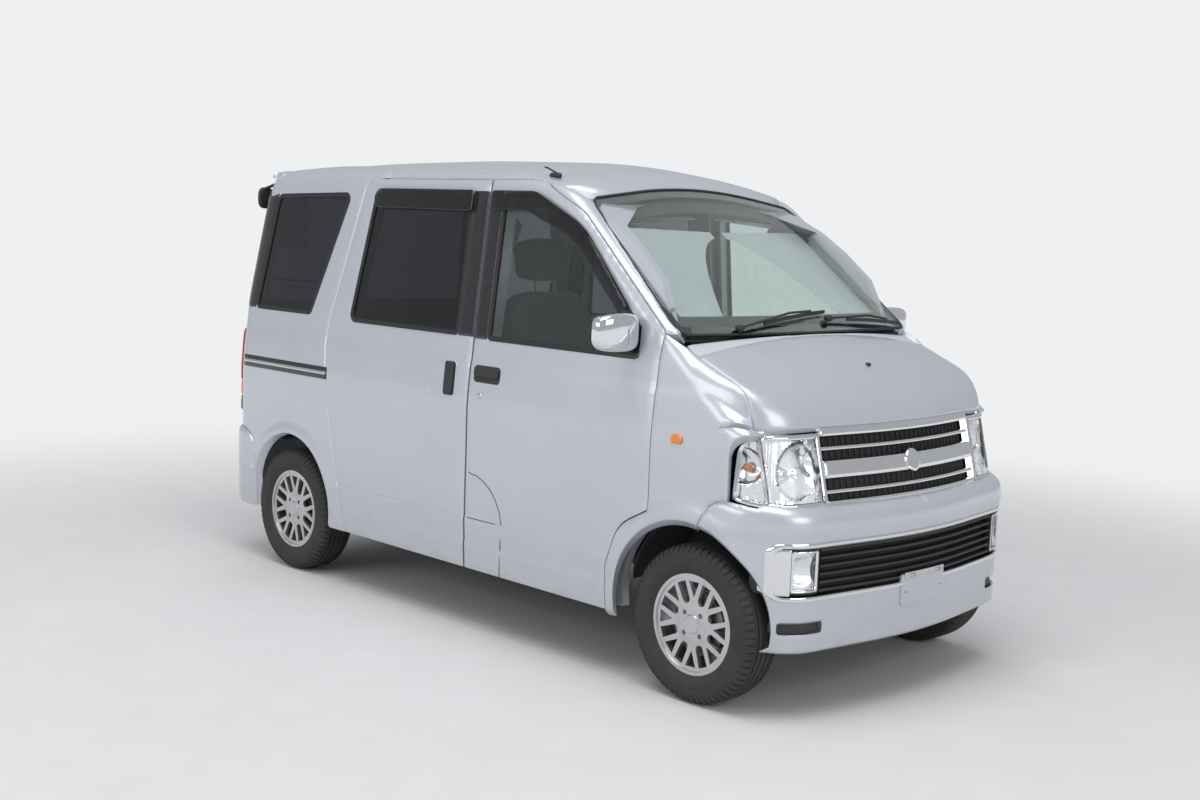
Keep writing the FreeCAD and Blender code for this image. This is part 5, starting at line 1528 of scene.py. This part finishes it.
rear_bumper = cut_panel([flatten(rear_rim, FROM_REAR_BUMPER)], FROM_REAR_BUMPER, rear_bumper_form,
                        wall=0.012, spacing=0.018, flush=at_middle)
halves("rear_bumper_skin", rear_bumper, paint, nodes=["rear_bumper"])
print("rear bumper triangles", 2 * len(rear_bumper[1]))

# %% Tailgate with its window opening
FROM_TAIL = look((-0.86, 0, 0.50), (0, -1, 0))
GATE_Y = 0.6375
TAILGATE_WINDOW = [(-596, 1170, 40), (596, 1170, 40), (560, 1690, 50), (-560, 1690, 50)]
PLATE_RECESS = [(-190, 735, 18), (190, 735, 18), (178, 915, 18), (-178, 915, 18)]
gate_low = from_behind(run_between((-GATE_Y, 0.6125), (GATE_Y, 0.6125)))
gate_left = from_behind(run_between((GATE_Y, 0.6125), (GATE_Y, 1.665)))
roof_edge = from_above(run_between((-1.4345, GATE_Y - 0.028), (-1.4345, -GATE_Y + 0.028)))
corner_left = from_above([(-1.53, GATE_Y - 0.006), (-1.48, GATE_Y - 0.016)])
corner_right = (corner_left * MIRROR_Y)[::-1]
gate_right = (gate_left * MIRROR_Y)[::-1]
gate_rim = np.concatenate([gate_low, gate_left, corner_left, roof_edge, corner_right, gate_right])
gate_window = flatten(from_behind(outline(TAILGATE_WINDOW)), FROM_TAIL)
recess_loop = flatten(from_behind(outline(PLATE_RECESS)), FROM_TAIL)
gate = cut_panel([flatten(gate_rim, FROM_TAIL), gate_window, recess_loop], FROM_TAIL, body_form,
                 wall=0.040, spacing=0.022)
new_piece("tailgate_panel", *gate, paint, "tailgate_body", ["tailgate"])
recess_outer = flatten(from_behind(outline(PLATE_RECESS, amount=-1)), FROM_TAIL)


def recess_depth(flat):
    """Depth of the recess for the plate, with sloping walls."""
    return 0.004 + 0.016 * step(rim_distance(flat, [recess_outer]), 0.002, 0.030)


recess = cut_panel([recess_outer], FROM_TAIL, body_form, recess_depth, 0.004, spacing=0.010, roll=0.0)
new_piece("plate_recess", *recess, paint, "tailgate_body")
print("tailgate triangles", len(gate[1]))


def tail_strip(loops, depth, wall, roll=0.001, spacing=0.014):
    """Strip or pane on the tailgate, its loops given as y and z."""
    flat = [flatten(from_behind(loop), FROM_TAIL) for loop in loops]
    return cut_panel(flat, FROM_TAIL, body_form, depth, wall, spacing=spacing, roll=roll)


gate_pane = tail_strip([outline(TAILGATE_WINDOW, amount=1)], 0.004, 0.0045, 0.0, 0.035)
new_piece("tailgate_pane", *gate_pane, privacy_glass, "tailgate_body", ["tailgate_window"])
rubber_loops = [outline(TAILGATE_WINDOW, amount=amount) for amount in (-8, 12)]
gate_rubber = tail_strip(rubber_loops, -0.0012, 0.012)
new_piece("tailgate_window_rubber", *gate_rubber, rubber_seal, "tailgate_body")
garnish_rows = [(-230, 925, 12), (230, 925, 12), (222, 985, 18), (-222, 985, 18)]
garnish = tail_strip([outline(garnish_rows)], -0.014, 0.018, 0.010, 0.010)
new_piece("tailgate_garnish", *garnish, paint, "tailgate_body")
stop_rows = [(-120, 1702, 6), (120, 1702, 6), (116, 1722, 6), (-116, 1722, 6)]
stop_lamp = tail_strip([outline(stop_rows)], -0.004, 0.010, 0.003, 0.010)
new_piece("high_stop_lamp", *stop_lamp, red_lens, "tailgate_body")

# %% Spoiler over the rear window
def spoiler_form(x, y, z):
    """Depth under the spoiler's upper face, which carries the roof on and falls to its tip."""
    top = z - (np.interp(x, *ROOF_TABLE) - y * y / ROOF_CROWN) - 0.006
    fall = 0.9 * np.maximum(-1.585 - x, 0.0)
    tip = -(x + 1.650) + 0.10 * (y / 0.60) ** 2
    return meet(meet(top + fall, tip, 0.016), y - 0.606, 0.030)


SPOILER = [(-1470, -600, 20), (-1470, 600, 20), (-1560, 604, 60), (-1644, 470, 300), (-1648, 0, 2000),
           (-1644, -470, 300), (-1560, -604, 60)]
spoiler = cut_panel([outline(SPOILER)], FROM_ABOVE, spoiler_form, wall=0.024, spacing=0.016, roll=0.008)
new_piece("roof_spoiler", *spoiler, paint, "tailgate_body")

# %% Black panels from the rear side windows to the rear window
band_side = from_right([(-1.4130, 1.684), (-1.4400, 1.530), (-1.4700, 1.350), (-1.5030, 1.163)])
band_low = from_right([(-1.5400, 1.160), (-1.5700, 1.160)])
band_tail_low = from_behind([(-0.6650, 1.160), (-0.6445, 1.160)])
band_tail = from_behind(run_between((-0.6445, 1.180), (-0.6445, 1.640), 0.03))
band_rim = np.concatenate([band_side, band_low, band_tail_low, band_tail, from_right([(-1.500, 1.690)])])
rear_band = cut_panel([flatten(band_rim, FROM_REAR_CORNER)], FROM_REAR_CORNER, body_form, -0.0009, 0.005,
                      spacing=0.016, roll=0.0008)
halves("rear_pillar_bands", rear_band, gloss_black)
gate_band_rows = [(-636, 1165, 6), (-603, 1165, 4), (-568, 1694, 4), (-624, 1694, 30)]
gate_band = tail_strip([outline(gate_band_rows)], -0.0006, 0.004, 0.0006)
halves("tailgate_bands", gate_band, gloss_black, "tailgate_body")

# %% Lamps at the rear corners: red above, amber in the middle, clear below
LAMP_ZONES = [("tail_lamp_red", 0.818, 1.056, red_lens), ("tail_lamp_amber", 0.748, 0.815, amber_lens),
              ("tail_lamp_clear", 0.678, 0.745, lamp_glass)]


def corner_band(low, high, front_x, depth, wall, roll, spacing=0.010):
    """Upright band round the rear corner between two heights."""
    rim = np.concatenate([
        from_right([(front_x, high), (front_x, low)]), from_right([(-1.610, low)]),
        from_behind([(-0.675, low), (-0.6465, low)]),
        from_behind(run_between((-0.6465, low), (-0.6465, high))),
        from_behind([(-0.6465, high), (-0.675, high)]), from_right([(-1.610, high)])])
    return cut_panel([flatten(rim, FROM_REAR_CORNER)], FROM_REAR_CORNER, body_form, depth, wall,
                     spacing=spacing, roll=roll)


for name, low, high, material in LAMP_ZONES:
    zone = corner_band(low, high, -1.588, -0.006, 0.012, 0.004)
    halves(name, zone, material, nodes=["tail_lights"])
lamp_back = corner_band(0.674, 1.060, -1.584, -0.0012, 0.006, 0.001)
halves("tail_lamp_backs", lamp_back, reflector)
print("tail lamp zones", len(LAMP_ZONES))

# %% Rear wiper and the small mirror that looks down behind the car
gate_spot = from_behind([(0.0, 1.205), (-0.30, 1.235), (-0.44, 1.250)])
wiper_path = gate_spot + np.array([[-0.018, 0, 0], [-0.022, 0, 0], [-0.012, 0, 0]])
rear_arm = outwards(sweep(wiper_path, ring_section(0.007, 8, 0.6)))
rear_blade_path = from_behind([(-0.20, 1.262), (-0.36, 1.272), (-0.52, 1.284)]) + np.array([-0.010, 0, 0])
BLADE_SECTION = [(-0.003, -0.006), (0.003, -0.006), (0.003, 0.006), (-0.003, 0.006)]
rear_blade = outwards(sweep(rear_blade_path, BLADE_SECTION))
rear_pivot = pod(gate_spot[0] + np.array([-0.010, 0, 0]), (0.016, 0.024, 0.024), 2.4, 12, 24)
new_piece("rear_wiper", *merged([rear_arm, rear_blade, rear_pivot]), black_plastic, "tailgate_body")
stalk_foot = from_behind([(-0.555, 1.715)])[0]
stalk_end = stalk_foot + np.array([-0.105, -0.010, -0.006])
stalk_middle = (stalk_foot + stalk_end) / 2 + np.array([0, 0, 0.012])
stalk_path = [stalk_foot + np.array([0.010, 0, 0]), stalk_middle, stalk_end]
stalk = outwards(sweep(stalk_path, ring_section(0.007, 10)))
view_pod = pod(stalk_end + np.array([-0.008, 0, -0.046]), (0.012, 0.040, 0.050), 3.0, 14, 28)
new_piece("rear_view_pod", *merged([stalk, view_pod]), black_plastic, "tailgate_body")

# %% [markdown]
# ## Tyres
# A tyre is a section turned about the axle. Five ribs and four grooves lie in the section itself.
# The blocks of the two shoulders repeat round the tyre with the node tree. The alloy wheels are
# the CAD ones.

# %% Section of the tyre: x across, radius
TREAD = [(0.000, 0.2725), (0.0105, 0.2725), (0.0112, 0.2665), (0.0168, 0.2665), (0.0175, 0.2724),
         (0.0340, 0.2722), (0.0347, 0.2662), (0.0405, 0.2662), (0.0412, 0.2718), (0.0500, 0.2712),
         (0.0530, 0.2660)]
WALL = [(0.0650, 0.2630), (0.0735, 0.2560), (0.0790, 0.2440), (0.0815, 0.2330), (0.0822, 0.2325),
        (0.0825, 0.2240), (0.0818, 0.2140), (0.0824, 0.2130), (0.0822, 0.2100), (0.0800, 0.1960),
        (0.0755, 0.1860), (0.0745, 0.1856), (0.0725, 0.1790), (0.0705, 0.1765), (0.0625, 0.1668)]
half_section = TREAD + WALL
section = [(-x, r) for x, r in half_section[::-1]] + half_section[1:]
BORE = 0.1668
section = section + [(0.030, BORE - 0.0004), (-0.030, BORE - 0.0004)]
TYRE_STEPS = 120
tyre_shape = outwards(lathe(section, TYRE_STEPS))
BLOCKS = 64
half_angle = math.pi / BLOCKS * 0.74


def shoulder_block(side):
    """One block of the shoulder, from the tread over the edge to the upper side wall."""
    rows = [(0.0535, 0.2640, 0.2709), (0.0640, 0.2600, 0.2682), (0.0722, 0.2550, 0.2618),
            (0.0790, 0.2455, 0.2500)]
    points, faces = [], []
    for x, low, high in rows:
        for radius in (low, high):
            for turn in (-half_angle, half_angle):
                lean = turn + 0.10 * (x - 0.0535)
                points.append((side * x, radius * math.sin(lean), radius * math.cos(lean)))
    for k in range(len(rows) - 1):
        a, b = 4 * k, 4 * k + 4
        faces += [(a + 2, a + 3, b + 3, b + 2), (a + 1, a, b, b + 1), (a, a + 2, b + 2, b),
                  (a + 3, a + 1, b + 1, b + 3)]
    last = 4 * (len(rows) - 1)
    faces += [(0, 1, 3, 2), (last + 2, last + 3, last + 1, last)]
    return outwards((np.array(points), faces))


blocks = merged([repeated(shoulder_block(side), tyre_rubber, BLOCKS, turn=(2 * math.pi / BLOCKS, 0, 0))
                 for side in (-1, 1)])
tyre_shape = merged([tyre_shape, blocks])
print("tyre faces", len(tyre_shape[1]))

# %% The four corners
AXLES = {"front": 1.250, "rear": -1.170}
WHEEL_Y = 0.645
AXLE_Z = 0.2725


def at_wheel(shape, end, side):
    """Shape turned about X, standing at a wheel; its positive x points out of the car."""
    points = shape[0]
    placed = np.stack([-points[:, 1] * side, points[:, 0] * side, points[:, 2]], 1)
    return placed + np.array([AXLES[end], WHEEL_Y * side, AXLE_Z]), shape[1]


for end in AXLES:
    for side, side_name in ((-1, "right"), (1, "left")):
        body = f"wheel_{end}_{side_name}_body"
        placed = outwards(at_wheel(tyre_shape, end, side))
        place = f"{end}_{side_name}"
        new_piece("tyre_tread_" + place, *placed, tyre_rubber, body, ["tyre_" + place], 35)
print("tyres", 2 * len(AXLES))

# %% [markdown]
# ## Trim on the outside
# Mirrors, handles, visors, the slide rail, the repeater lamps, the aerial, the washer jet and the
# wipers are small pieces laid on the same form, so they follow the body's curve.

# %% Door mirrors: bright shell, black foot and the glass
MIRROR = (0.934, -0.812, 1.239)


def mirror_bend(points):
    """Front face swept back towards the outer end."""
    bent = points.copy()
    outer = np.clip(-points[:, 1] / 0.08, 0, 1)
    bent[:, 0] -= 0.014 * outer ** 2 * (points[:, 0] > 0)
    bent[:, 2] *= 1.0 - 0.10 * outer ** 2
    return bent


shell = pod(MIRROR, (0.041, 0.091, 0.066), 4.2, 26, 48, mirror_bend)
rim_path = [(MIRROR[0] - 0.041, MIRROR[1] + 0.078 * math.copysign(abs(math.cos(t)) ** 0.42, math.cos(t)),
             MIRROR[2] + 0.055 * math.copysign(abs(math.sin(t)) ** 0.42, math.sin(t)))
            for t in np.linspace(0, 2 * math.pi, 48, endpoint=False)]
mirror_rim = outwards(sweep(rim_path, ring_section(0.004, 8), closed=True))
mirror_face = pod((MIRROR[0] - 0.0405, MIRROR[1], MIRROR[2]), (0.0035, 0.076, 0.053), 5.0, 12, 48)
foot_low = from_right([(0.890, 1.176)])[0]
foot = pod((0.905, (foot_low[1] + MIRROR[1] + 0.05) / 2, 1.200), (0.030, 0.052, 0.032), 3.0, 14, 28)
for side_name, flip in (("right", False), ("left", True)):
    body = f"front_door_{side_name}_body"
    for name, shape, material, nodes in (
            ("mirror_shell", shell, chrome, [f"door_mirror_{side_name}"]),
            ("mirror_rim", mirror_rim, black_plastic, []),
            ("mirror_face", mirror_face, mirror_glass, []), ("mirror_foot", foot, black_plastic, [])):
        shape = mirrored(*shape) if flip else shape
        new_piece(f"{name}_{side_name}", *shape, material, body, nodes)


def side_patch(rows, depth, wall, roll=0.001, spacing=0.012, form=body_form):
    """Thin piece on the right side, its outline in millimetres on the side view."""
    return cut_panel([outline(rows, 0.008)], FROM_RIGHT, form, depth, wall, spacing=spacing, roll=roll)


def on_doors(name, shape, material):
    """Piece on each front door."""
    both_sides(name, shape, material, DOOR_BODIES)


SAIL = [(806, 1147, 8), (905, 1300, 24), (952, 1258, 20), (953, 1147, 10)]
on_doors("mirror_sail", side_patch(SAIL, -0.0022, 0.010, 0.002), gloss_black)

# %% Handles
FRONT_CUP = [(94, 981, 18), (94, 1047, 18), (247, 1047, 18), (247, 981, 18)]
FRONT_GRIP = [(99, 1002, 12), (99, 1043, 12), (242, 1043, 12), (242, 1002, 12)]
on_doors("handle_cup", side_patch(FRONT_CUP, -0.0012, 0.006, 0.0012), black_plastic)
on_doors("handle_grip", side_patch(FRONT_GRIP, -0.011, 0.009, 0.007, 0.006), black_plastic)
lock_place = from_right([(0.139, 0.929)])[0]
lock = lathe([(-0.004, 0.0), (-0.004, 0.0135), (0.0015, 0.0130), (0.0025, 0.0115), (0.0025, 0.0)], 28)
lock = (np.stack([lock[0][:, 1], -lock[0][:, 0], lock[0][:, 2]], 1) + lock_place, lock[1])
on_doors("door_lock", outwards(lock), satin_metal)
SLIDE_CUP = [(-184, 909, 20), (-184, 1051, 20), (-15, 1051, 20), (-15, 909, 20)]
SLIDE_GRIP = [(-78, 916, 14), (-78, 1044, 14), (-24, 1044, 14), (-24, 916, 14)]
slide_ring = cut_panel([outline(SLIDE_CUP, 0.008), outline(SLIDE_CUP, 0.008, 5)], FROM_RIGHT, body_form,
                       -0.0015, 0.006, spacing=0.008, roll=0.0015)
halves("slide_handle_rims", slide_ring, paint)
slide_shade = cut_panel([outline([(-88, 912, 16), (-88, 1048, 16), (-19, 1048, 16), (-19, 912, 16)], 0.008)],
                        FROM_RIGHT, body_form, -0.0008, 0.004, spacing=0.02, roll=0.0008)
halves("slide_handle_cups", slide_shade, black_plastic)
halves("slide_handle_grips", side_patch(SLIDE_GRIP, -0.012, 0.010, 0.008, 0.006), black_plastic)

# %% Smoked visors over the front and the sliding windows
FRONT_VISOR = [(92, 1640, 8), (92, 1716, 14), (336, 1716, 120), (612, 1596, 330), (880, 1322, 10),
               (846, 1290, 10), (566, 1545, 280), (305, 1640, 110)]
SLIDE_VISOR = [(-22, 1632, 10), (-22, 1716, 14), (-676, 1716, 40), (-655, 1636, 26)]
front_visor = side_patch(FRONT_VISOR, -0.017, 0.003, 0.003, 0.014)
on_doors("front_visor", front_visor, smoked_visor)
halves("slide_visors", side_patch(SLIDE_VISOR, -0.017, 0.003, 0.003, 0.02), smoked_visor)

# %% Slide rail in the quarter panel and repeaters on the fenders
RAIL = [(-1565, 889, 10), (-1565, 942, 10), (-893, 942, 8), (-893, 889, 8)]
RAIL_BAR = [(-1558, 908, 5), (-1558, 924, 5), (-898, 924, 5), (-898, 908, 5)]
halves("slide_rails", side_patch(RAIL, -0.0012, 0.006, 0.0012, 0.02), gloss_black)
halves("slide_rail_bars", side_patch(RAIL_BAR, -0.0042, 0.006, 0.003, 0.02), satin_metal)
REPEATER = [(1146, 880, 14), (1146, 914, 14), (1199, 914, 14), (1199, 880, 14)]
halves("side_repeaters", side_patch(REPEATER, -0.009, 0.012, 0.008, 0.006), amber_lens)

# %% Fuel lid seam in the lower rear corner of the right door
LID_SEAM = [(87, 625), (140, 618), (185, 598), (219, 576), (252, 540), (275, 500), (287, 455), (286, 380),
            (283, 300), (280, 247)]
lid_points = from_right(np.array(LID_SEAM) * MILLI)
lid_low = from_right(run_between((0.087, 0.448), (0.287, 0.448), 0.03))
lid_lines = merged([outwards(sweep(lid_points, ring_section(0.0017, 8))),
                    outwards(sweep(lid_low, ring_section(0.0015, 8)))])
new_piece("fuel_lid_seam", *lid_lines, liner, "front_door_right_body")

# %% Aerial, washer jet and wipers
aerial_foot = from_above([(0.330, -0.555)], body_form)[0]
aerial_base = pod(aerial_foot + np.array([0, 0, 0.006]), (0.030, 0.013, 0.012), 2.6, 14, 28)
rod_path = aerial_foot + np.array([[0.010, 0, 0.014], [-0.045, 0, 0.034], [-0.060, 0, 0.037]])
aerial_rod = outwards(sweep(rod_path, ring_section(0.0035, 8)))
new_piece("aerial", *merged([aerial_base, aerial_rod]), black_plastic, "car_body")
jet_place = from_above([(1.405, 0.0)], base_form)[0]
jet = pod(jet_place + np.array([0, 0, 0.003]), (0.011, 0.008, 0.007), 2.4, 12, 20)
new_piece("washer_jet", *jet, black_plastic, "bonnet_body")
WIPER_RUNS = [((1.138, -0.400), (1.115, -0.110), (1.102, 0.030)),
              ((1.128, 0.120), (1.116, 0.380), (1.110, 0.510))]
WIPER_BLADE = [(-0.003, -0.007), (0.003, -0.007), (0.0045, 0.006), (-0.0045, 0.006)]
wiper_parts = []
for pivot, middle, tip in WIPER_RUNS:
    points = from_above([pivot, middle, tip], house_form)
    lifted = points + np.array([[0.001, 0, 0.014], [0.010, 0, 0.026], [0.008, 0, 0.018]])
    wiper_parts.append(outwards(sweep(lifted, ring_section(0.0065, 8, 0.7))))
    share = np.linspace(-0.95, 1.50, 14)[:, None]
    blade_flat = points[1, :2] + (points[2, :2] - points[1, :2]) * share * 1.15
    blade = from_above(blade_flat, house_form) + np.array([0.005, 0, 0.008])
    wiper_parts.append(outwards(sweep(blade, WIPER_BLADE)))
    wiper_parts.append(pod(lifted[0], (0.016, 0.018, 0.012), 2.4, 12, 24))
new_piece("wiper_arms", *merged(wiper_parts), black_plastic, "car_body", ["wipers"])
print("trim placed; aerial at", [round(float(c), 3) for c in aerial_foot])

# %% [markdown]
# ## Seats
# A cushion starts as a rounded block. Cloth simulation then blows it up a little from inside, so
# its faces crown and its sides pull in between the corners, as stuffed cloth does.

# %% Cushions from rounded blocks
def cushion_block(half, power=5.0, rows=18, columns=40):
    """Rounded block round the origin."""
    return pod((0, 0, 0), half, power, rows, columns)


def puffed(shape, grow):
    """Points and faces after a short cloth simulation with pressure inside."""
    mesh = bpy.data.meshes.new("cushion")
    mesh.from_pydata([tuple(p) for p in shape[0]], [], [tuple(int(i) for i in f) for f in shape[1]])
    cushion = bpy.data.objects.new("cushion", mesh)
    scene.collection.objects.link(cushion)
    remesh = cushion.modifiers.new("remesh", "REMESH")
    remesh.mode = "VOXEL"
    remesh.voxel_size = CUSHION_VOXEL
    flat = bpy.data.meshes.new_from_object(cushion.evaluated_get(bpy.context.evaluated_depsgraph_get()))
    cushion.modifiers.clear()
    cushion.data = flat
    start = np.zeros(len(flat.vertices) * 3)
    flat.vertices.foreach_get("co", start)
    start = start.reshape(-1, 3)
    cloth = cushion.modifiers.new("cloth", "CLOTH")
    cloth.settings.use_pressure = True
    cloth.settings.uniform_pressure_force = CUSHION_PRESSURE
    cloth.settings.effector_weights.gravity = 0.0
    cloth.settings.quality = 4
    cloth.settings.tension_stiffness = 25
    cloth.settings.compression_stiffness = 25
    for frame_number in range(1, CUSHION_FRAMES + 1):
        scene.frame_set(frame_number)
    made = bpy.data.meshes.new_from_object(cushion.evaluated_get(bpy.context.evaluated_depsgraph_get()))
    end = np.zeros(len(made.vertices) * 3)
    made.vertices.foreach_get("co", end)
    end = end.reshape(-1, 3)
    scene.frame_set(1)
    faces = [tuple(face.vertices) for face in flat.polygons]
    bpy.data.objects.remove(cushion)
    shift = end - start
    length = np.linalg.norm(shift, axis=1, keepdims=True)
    shift = shift * np.minimum(1.0, grow / np.maximum(length, 1e-9))
    return start + shift, faces


CUSHION_VOXEL = 0.010
CUSHION_PRESSURE = 4.0
CUSHION_FRAMES = 14
FRONT_BASE_HALF = (0.232, 0.228, 0.062)
FRONT_BACK_HALF = (0.052, 0.222, 0.300)
HEAD_REST_HALF = (0.045, 0.125, 0.080)
BENCH_BASE_HALF = (0.225, 0.555, 0.066)
BENCH_BACK_HALF = (0.050, 0.555, 0.255)
cushions = {half: puffed(cushion_block(half), 0.012)
            for half in (FRONT_BASE_HALF, FRONT_BACK_HALF, HEAD_REST_HALF, BENCH_BASE_HALF, BENCH_BACK_HALF)}
print("cushions", {half: len(shape[1]) for half, shape in cushions.items()})


def placed(shape, place, lean=0.0):
    """Shape leaned about Y in degrees and moved to its place."""
    c, s = math.cos(math.radians(lean)), math.sin(math.radians(lean))
    points = shape[0]
    turned = np.stack([points[:, 0] * c + points[:, 2] * s, points[:, 1],
                       points[:, 2] * c - points[:, 0] * s], 1)
    return turned + np.array(place), shape[1]


def channels(shape, spacing, depth, axis=1, limit=0.6):
    """Sewn channels across the middle of a cushion."""
    points = shape[0].copy()
    size = np.abs(points).max(0)
    thin = int(np.argmin(size))
    share = np.abs(points[:, axis]) / size[axis]
    groove = np.exp(-((np.mod(points[:, axis] + spacing / 2, spacing) - spacing / 2) / 0.006) ** 2)
    on_face = np.clip(np.abs(points[:, thin]) / size[thin] - 0.3, 0, 1)
    points[:, thin] -= np.sign(points[:, thin]) * depth * groove * (share < limit) * on_face
    return points, shape[1]


front_base = channels(cushions[FRONT_BASE_HALF], 0.075, 0.006)
front_back = channels(cushions[FRONT_BACK_HALF], 0.075, 0.006)
bench_base = channels(cushions[BENCH_BASE_HALF], 0.090, 0.006, limit=0.85)
bench_back = channels(cushions[BENCH_BACK_HALF], 0.090, 0.006, limit=0.85)
SEAT_Y = 0.350
for side, side_name in ((-1, "right"), (1, "left")):
    for name, shape, place, lean in (
            ("seat_base", front_base, (0.335, side * SEAT_Y, 0.775), -7.0),
            ("seat_back", front_back, (0.118, side * SEAT_Y, 1.040), -10.0),
            ("head_rest", cushions[HEAD_REST_HALF], (0.045, side * SEAT_Y, 1.450), -8.0)):
        nodes = ["front_seats"] if name == "seat_base" else []
        cushion = new_piece(f"front_{name}_{side_name}", *placed(shape, place, lean), seat_cloth, "car_body",
                            nodes)
posts = []
for side in (-1, 1):
    for y in (-0.05, 0.05):
        post = [(0.078, side * SEAT_Y + y, 1.300), (0.060, side * SEAT_Y + y, 1.400)]
        posts.append(outwards(sweep(post, ring_section(0.006, 10))))
new_piece("head_rest_posts", *merged(posts), steel, "car_body", ["front_seats"])
for name, shape, place, lean in (("bench_base", bench_base, (-0.560, 0, 0.670), -4.0),
                                 ("bench_back", bench_back, (-0.790, 0, 0.975), -10.0)):
    cushion = new_piece(f"rear_{name}", *placed(shape, place, lean), seat_cloth, "car_body", ["rear_seat"])
bench_legs = [pod((-0.62, side * 0.40, 0.520), (0.020, 0.020, 0.085), 6.0, 10, 20) for side in (-1, 1)]
new_piece("rear_bench_legs", *merged(bench_legs), underbody, "car_body", ["rear_seat"])

# %% [markdown]
# ## Dashboard and steering wheel
# The dashboard is a pale moulding with a hood over the instruments.

# %% Steering wheel: a padded ring, three spokes and a bare pad
WHEEL_PLACE = np.array([0.640, -0.330, 1.080])
WHEEL_AXIS = np.array([-0.8222, 0.0, 0.5692])
across = np.array([0.0, 1.0, 0.0])
upwards = np.cross(across, WHEEL_AXIS) * -1
RING = 0.182


def on_wheel(a, b, c):
    """Place on the steering wheel: across, up and towards the driver."""
    return WHEEL_PLACE + across * a + upwards * b + WHEEL_AXIS * c


ring_path = [on_wheel(RING * math.cos(t), RING * math.sin(t), 0.0)
             for t in np.linspace(0, 2 * math.pi, 64, endpoint=False)]
ring = outwards(sweep(ring_path, ring_section(0.0135, 14), closed=True))
spokes = []
for turn in (0, 180, 250, 290):
    t = math.radians(turn)
    path = [on_wheel(r * math.cos(t), r * math.sin(t), depth)
            for r, depth in ((0.045, -0.020), (0.110, -0.016), (0.176, -0.003))]
    spokes.append(outwards(sweep(path, [(0.015 * a, 0.007 * b) for a, b in ring_section(1.0, 12)])))
hub_pad = pod((0, 0, 0), (0.022, 0.078, 0.066), 3.2, 18, 36)
turned_pad = np.array([on_wheel(p[1], p[2], -0.014 + p[0]) for p in hub_pad[0]])
column = outwards(sweep([on_wheel(0, 0, -0.030), on_wheel(0, 0, -0.180)], ring_section(0.030, 20)))
new_piece("steering_ring", *ring, dark_plastic, "steering_wheel_body", ["steering_wheel"])
new_piece("steering_spokes", *merged(spokes + [outwards((turned_pad, hub_pad[1])), column]), dark_plastic,
          "steering_wheel_body", ["steering_wheel"])

# %% Dashboard
def dash_form(x, y, z):
    """Depth in the dashboard: a broad pad with a hood on the right and a rounded front edge."""
    hood = 0.030 * np.exp(-((y - 0.330) / 0.170) ** 4) * step(x, 1.00, 0.86)
    top = z - 1.150 - 0.040 * (x - 0.90) / 0.20 - hood
    face = 0.775 - x + 0.10 * np.maximum(0.95 - z, 0.0) * -1
    return meet(meet(top, face, 0.070), y - 0.604, 0.030)


FROM_DASH = look((-0.70, 0, 0.714), (0, 1, 0))


def dash_edge(start, end, view):
    """Part of the dashboard's rim, between two places of a view."""
    return drop(np.array(run_between(start, end, 0.02), float), view, dash_form, 0.0)[0]


dash_rim = np.concatenate([
    dash_edge((1.095, -0.600), (1.095, 0.600), FROM_ABOVE),
    dash_edge((1.095, 0.600), (0.800, 0.600), FROM_ABOVE),
    dash_edge((-0.600, 1.120), (-0.600, 0.730), FROM_BEHIND),
    dash_edge((-0.600, 0.730), (0.600, 0.730), FROM_BEHIND),
    dash_edge((0.600, 0.730), (0.600, 1.120), FROM_BEHIND),
    dash_edge((0.800, -0.600), (1.095, -0.600), FROM_ABOVE)])
dash = cut_panel([flatten(dash_rim, FROM_DASH)], FROM_DASH, dash_form, wall=0.014, spacing=0.022)
new_piece("dash_pad", *dash, light_plastic, "car_body", ["dashboard"])
print("seats and dashboard made", len(dash[1]))
